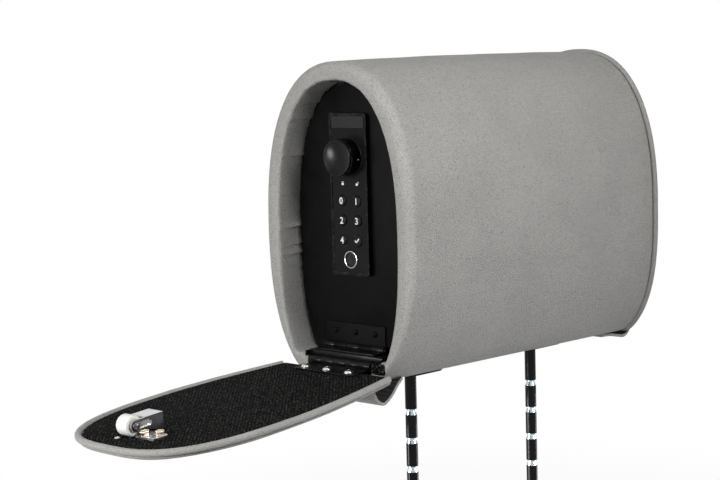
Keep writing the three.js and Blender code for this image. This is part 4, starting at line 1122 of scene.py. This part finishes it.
def makeCatch():
    c, seat = catch, flap["seat"]
    x, at, y = seat + c["roller"], c["at"], c["y"]
    ring = mirrored(c["rollerSide"])
    bm = spun(ring + ring[:1], "Y", (x, y, at), 72)
    onFlap("catchRoller", bm, "nylon", "catch_roller", body="roller")

    wall, arm, start = c["wall"], c["arm"], c["start"]
    gap = c["gap"]
    reach = c["width"] / 2 + gap + wall
    low, high = y - reach, y + reach
    top, roofEnd = seat + c["height"], start + c["roof"]
    bend = [(at + arm * math.sin(t), x + arm * math.cos(t)) for t in (i / 16 * math.pi for i in range(17))]
    cheek = [
        (start, seat), (start, top), (roofEnd, top), (roofEnd + 1, x + arm), *bend,
        (roofEnd + 2.5, x - arm), (roofEnd + 1, seat),
    ]
    sides = [
        loft([[Vector((up, face, along)) for along, up in cheek] for face in faces], "flat")
        for faces in ((low, low + wall), (high - wall, high))
    ]
    piece = onFlap("catchBracket", sides[0], "catchSteel", "catch_bracket", sharp=30)
    roof = slab((top - wall, low + gap, start + 0.01), (top - 0.01, high - gap, roofEnd - 0.01))
    back = slab((seat + 0.01, low + gap, start + 0.02), (top - gap, high - gap, start + wall))
    first, last = c["foot"]
    foot = slab((seat + 0.02, low - c["reach"], first), (seat + wall, low + wall - 0.3, last), corner=3)
    for part in (roof, sides[1], back, foot):
        carve(piece, part, "UNION", place=flapPlace)
    half, behind = c["slotHalf"], low + wall
    first, last = (x - half, low - 4, c["slotStart"]), (x + half, behind + 1, at + half)
    carve(piece, slab(first, last, corner=2.3, across="Y"), place=flapPlace)
    inner = (behind + 0.2) * mm
    # Painted shade: the near cheek's outer side takes the darker copy of the catch steel.
    secondFinish(piece, "cheekSteel", lambda face: abs(face.normal.y) > 0.5 and face.center.y < inner)
    soften(piece, 0.35)

    half = c["slideHalf"]
    slide = slab((x - half, behind + 0.05, c["slideStart"]), (x + half, behind + 0.3, at + half))
    onFlap("catchSlide", slide, "nickel")
    # The axle takes the darker steel copy too: painted shade.
    onFlap("catchAxle", spun(mirrored(c["axleSide"]), "Y", (x, y, at), 48), "cheekSteel", "catch_axle")

    base, radius, height = seat + wall, c["nutRadius"], c["nutHeight"]
    for i, (along, out, turn) in enumerate(c["nuts"], 1):
        bm = bmesh.new()
        bmesh.ops.create_cone(bm, cap_ends=True, segments=6, radius1=radius, radius2=radius, depth=height)
        spin = Matrix.Rotation(math.radians(turn), 3, "Z")
        bmesh.ops.rotate(bm, cent=(0, 0, 0), matrix=spin, verts=bm.verts)
        rounded(bm, [e for e in bm.edges if e.calc_face_angle(0) > 0.5], 0.35, 3)
        spot = (0, low - out, along)
        stand = Matrix.Translation((base + height / 2, *spot[1:])) @ Matrix.Rotation(math.pi / 2, 4, "Y")
        bmesh.ops.transform(bm, matrix=stand, verts=bm.verts)
        piece = onFlap(f"catchNut{i}", bm, "brass", f"catch_nut_{i}")
        carve(piece, spun(shifted(base, c["nutBore"]), "X", spot, 32), place=flapPlace)
        onFlap(f"catchStud{i}", spun(shifted(base, c["stud"]), "X", spot, 28), "nickel")

    bm = spun(shifted(seat, c["tipHead"]), "X", (0, *c["tip"]), 40)
    tip = onFlap("catchTipScrew", bm, "nickel", "catch_tip_screw")
    crossRecess(tip, c["tipRecess"], (seat + 1.1, *c["tip"]), 30)


makeCatch()
print("catch done")

# The door and what shows of its lock

door = {"front": -143.5, "plate": 3, "half": 61.5, "top": 237, "lowest": -6.7, "floor": 26.5, "around": 300}
lock = {
    "half": 20.5, "bottom": 83, "top": 214.3, "face": -147.5, "corner": 3, "lip": 0.6, "lipWidth": 1.5,
    "knob": 179, "knobHole": 4.1, "keyTop": 143.5, "keyRow": 16, "keyColumn": 8.35, "keyHole": 5.0,
    "sensor": 95.8, "sensorHole": 7.55, "holeEnd": -141, "hollowHalf": 18.9,
    # the label from the panel's top, and the two padlocks by Y
    "labelHalf": 17.8, "label": (11.9, 2.4), "padlocks": (("padlock_shut", 7.2), ("padlock_open", -8.6)),
    "padlockHeight": 157.6, "keyLift": 1.3, "digitSize": 7.6, "tickSize": 4.4, "printLift": 0.01,
    "knobHeight": 14, "knobIndex": ((-5.4, -15.35, -1.95), (-3.2, -15.05, -1.05)),
    # profiles: the key cap, the knob's base and cap, the ring and the pad of the sensor
    "keyCap": [
        (0, 0), (0.01, 2.115), (0.05, 3.384), (0.16, 3.948), (0.42, 4.465), (0.9, 4.7), (2.9, 4.7),
        (2.95, 5.6), (3.55, 5.6), (3.55, 0),
    ],
    "knobBase": [(-0.9, 4.2), (-0.9, 15), (-0.75, 15.4), (-0.4, 15.8), (0, 15.9), (0, 4.2), (-0.9, 4.2)],
    "knobCap": [
        (0.45, 0), (0.45, 13.5), (0.3, 13.75), (0.05, 13.9), (0, 14.15), (0.05, 14.45), (0.3, 14.8),
        (0.6, 15.05), (1.2, 15.18), (2.2, 15.2), (2.3, 14.95), (2.6, 14.95), (2.7, 15.2), (12, 15.2),
        (12.5, 15.05), (12.8, 14.75), (12.8, 3.65), (4.8, 3.65), (4.8, 0),
    ],
    "sensorRing": [
        (-0.6, 6.3), (-0.8, 6.4), (-0.85, 6.65), (-0.8, 6.9), (-0.6, 7.05), (0, 7.2), (3.7, 7.25),
        (3.7, 6.3), (-0.6, 6.3),
    ],
    "sensorPad": [(0.15, 0), (0.1, 2.2), (0, 4.2), (0.1, 5.7), (0.4, 6.0), (3.7, 6.0), (3.7, 0)],
}
keyFaces = {"key_0": "0", "key_1": "1", "key_2": "2", "key_3": "3", "key_4": "4", "key_ok": None}


def makeDoor():
    oval = {**outerOval, **{key: door[key] for key in ("half", "top", "lowest", "floor")}}
    front, back = door["front"], door["front"] + door["plate"]
    section = [(front, 0.7), (front + 0.2, 0.2), (front + 0.6, 0), (back - 0.4, 0), (back, 0.4)]
    bm = loft(ringsOf(section, oval, door["around"]), "flat")
    plate = finishPiece("doorPlate", bm, "door", "doorCoat", "door_plate")
    knob, knobHole = (0, 0, lock["knob"]), lock["knobHole"]
    carve(plate, spun(rod(front - 3, back + 3, knobHole), "X", knob, 40))

    face, half, lip, end = lock["face"], lock["half"], lock["lipWidth"], lock["holeEnd"]
    bottom, top, corner = lock["bottom"], lock["top"], lock["corner"]
    bm = slab((face - lock["lip"], -half, bottom), (front, half, top), corner=corner)
    panel = finishPiece("lockPanel", bm, "door", "panelPlastic", "lock_panel")
    low, high = (face - 5, lip - half, bottom + lip), (face, half - lip, top - lip)
    carve(panel, slab(low, high, corner=corner - lip))
    across = lock["hollowHalf"]
    carve(panel, slab((face + 1.5, -across, bottom + 1.6), (front + 3, across, lock["knob"] - 15.2)))
    holes = bmesh.new()
    for name in keyFaces:
        spun(rod(face - 5, face + 3, lock["keyHole"]), "X", (0, *keyPlace(name)), 40, holes)
    spun(rod(face - 5, end, lock["sensorHole"]), "X", (0, 0, lock["sensor"]), 48, holes)
    spun(rod(face - 5, end, knobHole), "X", knob, 40, holes)
    carve(panel, holes)
    soften(panel, 0.22)

    half, (low, high) = lock["labelHalf"], lock["label"]
    bm = slab((face - 0.5, -half, top - low), (face, half, top - high), edge=0.15, corner=0.8)
    finishPiece("labelPlate", bm, "door", "labelPlastic", "label_plate")


def keyPlace(name):
    i = list(keyFaces).index(name)
    return (-lock["keyColumn"] if i % 2 else lock["keyColumn"]), lock["keyTop"] - lock["keyRow"] * (i // 2)


def tickShape(size):
    bm = bmesh.new()
    for half, turn, spot in ((0.5, 48, (0.17, 0.05)), (0.26, -45, (-0.33, -0.14))):
        bar = slab((-half, -0.11, 0), (half, 0.11, 0.02))
        place = Matrix.Translation((*spot, 0)) @ Matrix.Rotation(math.radians(turn), 4, "Z")
        bmesh.ops.transform(bar, matrix=place, verts=bar.verts)
        addTo(bm, bar)
    bmesh.ops.scale(bm, vec=(size, size, size), verts=bm.verts)
    return bm


def padlockShape(shut):
    bm = slab((-1.1, -1.4, 0), (1.1, 0.3, 0.08), corner=0.25, across="Z")
    turns = [i / 14 * math.pi for i in range(15)]
    bow = [Vector((0.72 * math.cos(t), 0.75 + 0.72 * math.sin(t), 0.04)) for t in turns]
    bow = [Vector((0.72, 0.2 if shut else 0.55, 0.04)), *bow, Vector((-0.72, 0.2, 0.04))]
    shift = Vector((0 if shut else 1.44, 0, 0))
    addTo(bm, sweep([p + shift for p in bow], 0.2, 8))
    return bm


def printed(name, bm, body, x, y, z):
    place = Matrix.Translation((x, y, z)) @ printTurn
    finishPiece(name, bm, body, "print", place=place, turned=False)


def makeKeys():
    face, lift = lock["face"], lock["printLift"]
    cap = face - lock["keyLift"]
    for name, mark in keyFaces.items():
        y, z = keyPlace(name)
        bm = spun(shifted(cap, lock["keyCap"]), "X", (0, y, z), 56)
        finishPiece(name.replace("key_ok", "key_tick") + "_cap", bm, name, "keyPlastic", name)
        if mark:
            printed(f"digit_{mark}", textMesh(mark, lock["digitSize"], "digit"), name, cap - lift, y, z)
        else:
            printed("tick_mark", tickShape(lock["tickSize"]), name, cap - lift, y, z)
    for label, y in lock["padlocks"]:
        printed(label, padlockShape(label.endswith("shut")), "door", face - lift, y, lock["padlockHeight"])


def makeKnob():
    k, face = lock["knob"], lock["face"]
    bm = spun(shifted(face, lock["knobBase"]), "X", (0, 0, k), 96)
    finishPiece("knobBase", bm, "door", "knobPlastic", "knob_base")
    bm = spun(shifted(face - lock["knobHeight"], lock["knobCap"]), "X", (0, 0, k), 128)
    finishPiece("knobCap", bm, "knob", "knobPlastic", "knob")
    low, high = ((face + x, y, k + z) for x, y, z in lock["knobIndex"])
    finishPiece("knobIndex", slab(low, high, edge=0.08), "knob", "print")


def makeSensor():
    face, place = lock["face"], (0, 0, lock["sensor"])
    bm = spun(shifted(face, lock["sensorRing"]), "X", place, 96)
    finishPiece("sensorRing", bm, "door", "chrome", "sensor_ring")
    bm = spun(shifted(face, lock["sensorPad"]), "X", place, 72)
    finishPiece("sensorPad", bm, "door", "padGlass", "sensor_pad")


makeDoor()
makeKeys()
makeKnob()
makeSensor()
print("door and lock front done")

# Posts and slot plates

post = {
    "x": 80.35, "bottom": -190, "top": 14.2, "first": -38, "pitch": 24.6, "count": 6, "neck": 3.75,
    "foot": [(0, 0), (0, 3.5), (1.5, 5)], "head": [(-0.4, 5), (0, 4.6), (0, 0)],
    "notch": [
        (-5.3, 5), (-4.8, 4.9), (-1.8, 3.8), (-1.5, 3.75), (-0.2, 3.75), (0, 3.95), (0, 4.65), (0.3, 5),
    ],
}
slotPlate = {
    "flange": (20.5, 21, -5.8, -0.3), "collar": (18.3, 7.7, -1.8, 3.7), "slot": (16.8, 5.8, -9, 9),
}


def plateBox(x, part, **edges):
    halfX, halfY, low, high = slotPlate[part]
    return slab((x - halfX, -halfY, low), (x + halfX, halfY, high), across="Z", **edges)


def makePosts():
    p = post
    section = shifted(p["bottom"], p["foot"])
    for i in range(p["count"] - 1, -1, -1):
        section += shifted(p["first"] - i * p["pitch"], p["notch"])
    section += shifted(p["top"], p["head"])
    neck, foot = (p["neck"] + 1) * mm, (p["bottom"] + 4) * mm
    for end, x in (("near", -p["x"]), ("far", p["x"])):
        bm = spun(section, "Z", (x, 0, 0), 72)
        piece = finishPiece(f"{end}Post", bm, f"{end}_post", "postChrome", f"{end}_post", sharp=28)

        def inNotch(face):
            spot = face.center
            return math.hypot(spot.x - x * mm, spot.y) < neck and foot < spot.z < 0

        secondFinish(piece, "notchChrome", inNotch)
        bm = plateBox(x, "flange", edge=0.9, corner=6)
        plate = finishPiece(f"{end}SlotPlate", bm, "headrest", "panelPlastic", f"{end}_slot_plate")
        carve(plate, plateBox(x, "collar", edge=0.3), "UNION")
        carve(plate, plateBox(x, "slot", corner=5.6))


makePosts()
print("posts done")

# What lies inside keeps its CAD shape and gets its finish

inside = {
    "steelCoat": ("front_frame", "safe_body", "rail_channel", "catch_strike"),
    "zinc": ("near_carriage", "far_carriage", "knob_spindle", "lock_cam", "lock_bolt", "solenoid"),
    "nickel": ("solenoid_pin",), "rubber": ("keypad_membrane",), "panelPlastic": ("lock_body",),
    "board": ("circuit_board",), "wrap": ("battery_pack",), "ply": ("flap_board",),
    "pile": ("interior_mat",), "foam": ("foam_pad", "end_foam"),
}
for finishName, nodeNames in inside.items():
    for nodeName in nodeNames:
        dress(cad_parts[nodeName], finishName)

# Floor, light and camera

studio = {
    "floor": -190.6, "floorHalf": 6000, "floorTone": 0.5, "glow": (0.12, 0.6, 0.88, 1.0), "ambient": 0.16,
    "camera": (-1195.32, -1025.42, 272.52), "lens": 91.18,
    "right": (0.69332, -0.72010, -0.02750), "up": (0.09759, 0.05601, 0.99365),
    "forward": (0.71399, 0.69160, -0.10911), "lampHeight": 120,
    "lamps": [  # name, place, target, size, watts, and whether it lights more than gloss
        ("nearEnd", (-1900, 80, 470), (0, 0, 120), 500, 27, True),
        ("side", (-205, -700, 495), (0, 0, 120), 300, 5.0, True),
        ("top", (-350, -250, 1150), (0, 0, 120), 500, 0.4, True),
        ("farEnd", (2000, -500, 800), (0, 0, 120), 700, 2, True),
        ("stripLeft", (-800, 360, 60), (-80, 0, 0), 130, 2.4, False),
        ("stripRight", (230, -700, 60), (-80, 0, 0), 130, 2.4, False),
        ("nearPostLeft", (-173, 60, -128), (-69.5, 0, -128), 24, 0.24, False),
        ("nearPostRight", (32, -64, -128), (-69.5, 0, -128), 14, 0.1, False),
        ("farPostLeft", (-12, 60, -128), (91.3, 0, -128), 24, 0.24, False),
        ("farPostRight", (193, -64, -128), (91.3, 0, -128), 14, 0.1, False),
    ],
}


def makeStudio():
    bm = bmesh.new()
    place = Matrix.Translation((0, 0, studio["floor"]))
    bmesh.ops.create_grid(bm, x_segments=4, y_segments=4, size=studio["floorHalf"], matrix=place)
    f = Finish("studioFloor", "floor", roughness=0.9)
    w = f.w
    finishes["studioFloor"] = f.feed(Base_Color=(*[studio["floorTone"]] * 3, 1))
    glow = w.add("ShaderNodeEmission", inputs={"Color": (1, 1, 1, 1), "Strength": 1.0})
    away = w.add("ShaderNodeVectorMath", operation="LENGTH", inputs={0: f.place})
    share = w.times(w.seen(), w.ramp(away.outputs["Value"], *studio["glow"]))
    mixed = w.add("ShaderNodeMixShader", inputs={0: share, 1: f.shader.outputs[0], 2: glow.outputs[0]})
    w.feed(mixed.outputs[0], w.tree.nodes["Material Output"].inputs["Surface"])
    finishPiece("studioFloor", bm, None, "studioFloor", turned=False)

    world = bpy.data.worlds.new("studioWorld")
    world.use_nodes = True
    bpy.context.scene.world = world
    w = Wiring(world.node_tree)
    background = world.node_tree.nodes["Background"]
    w.feed((1, 1, 1, 1), background.inputs["Color"])
    w.feed(w.ramp(w.seen(), 0.0, 1.0, studio["ambient"], 1.0), background.inputs["Strength"])

    for name, place, target, size, watts, lights in studio["lamps"]:
        lamp = bpy.data.lights.new(name, "AREA")
        lamp.shape, lamp.energy = "RECTANGLE", watts
        lamp.size, lamp.size_y = size * mm, max(size, studio["lampHeight"]) * mm
        carrier = linked(name, lamp)
        carrier.visible_camera, carrier.visible_diffuse = False, lights
        place, target = Vector(place) * mm, Vector(target) * mm
        turn = (target - place).to_track_quat("-Z", "Y").to_matrix().to_4x4()
        carrier.matrix_world = Matrix.Translation(place) @ turn

    camera = bpy.data.cameras.new("camera")
    camera.sensor_width, camera.lens, camera.clip_end = 36, studio["lens"], 50
    carrier = linked("camera", camera)
    right, up, forward = (Vector(studio[key]) for key in ("right", "up", "forward"))
    turn = Matrix((right, up, -forward)).transposed().to_4x4()
    carrier.matrix_world = Matrix.Translation(Vector(studio["camera"]) * mm) @ turn
    bpy.context.scene.camera = carrier
    bpy.context.scene.view_settings.view_transform = "Standard"


makeStudio()
print("studio done")
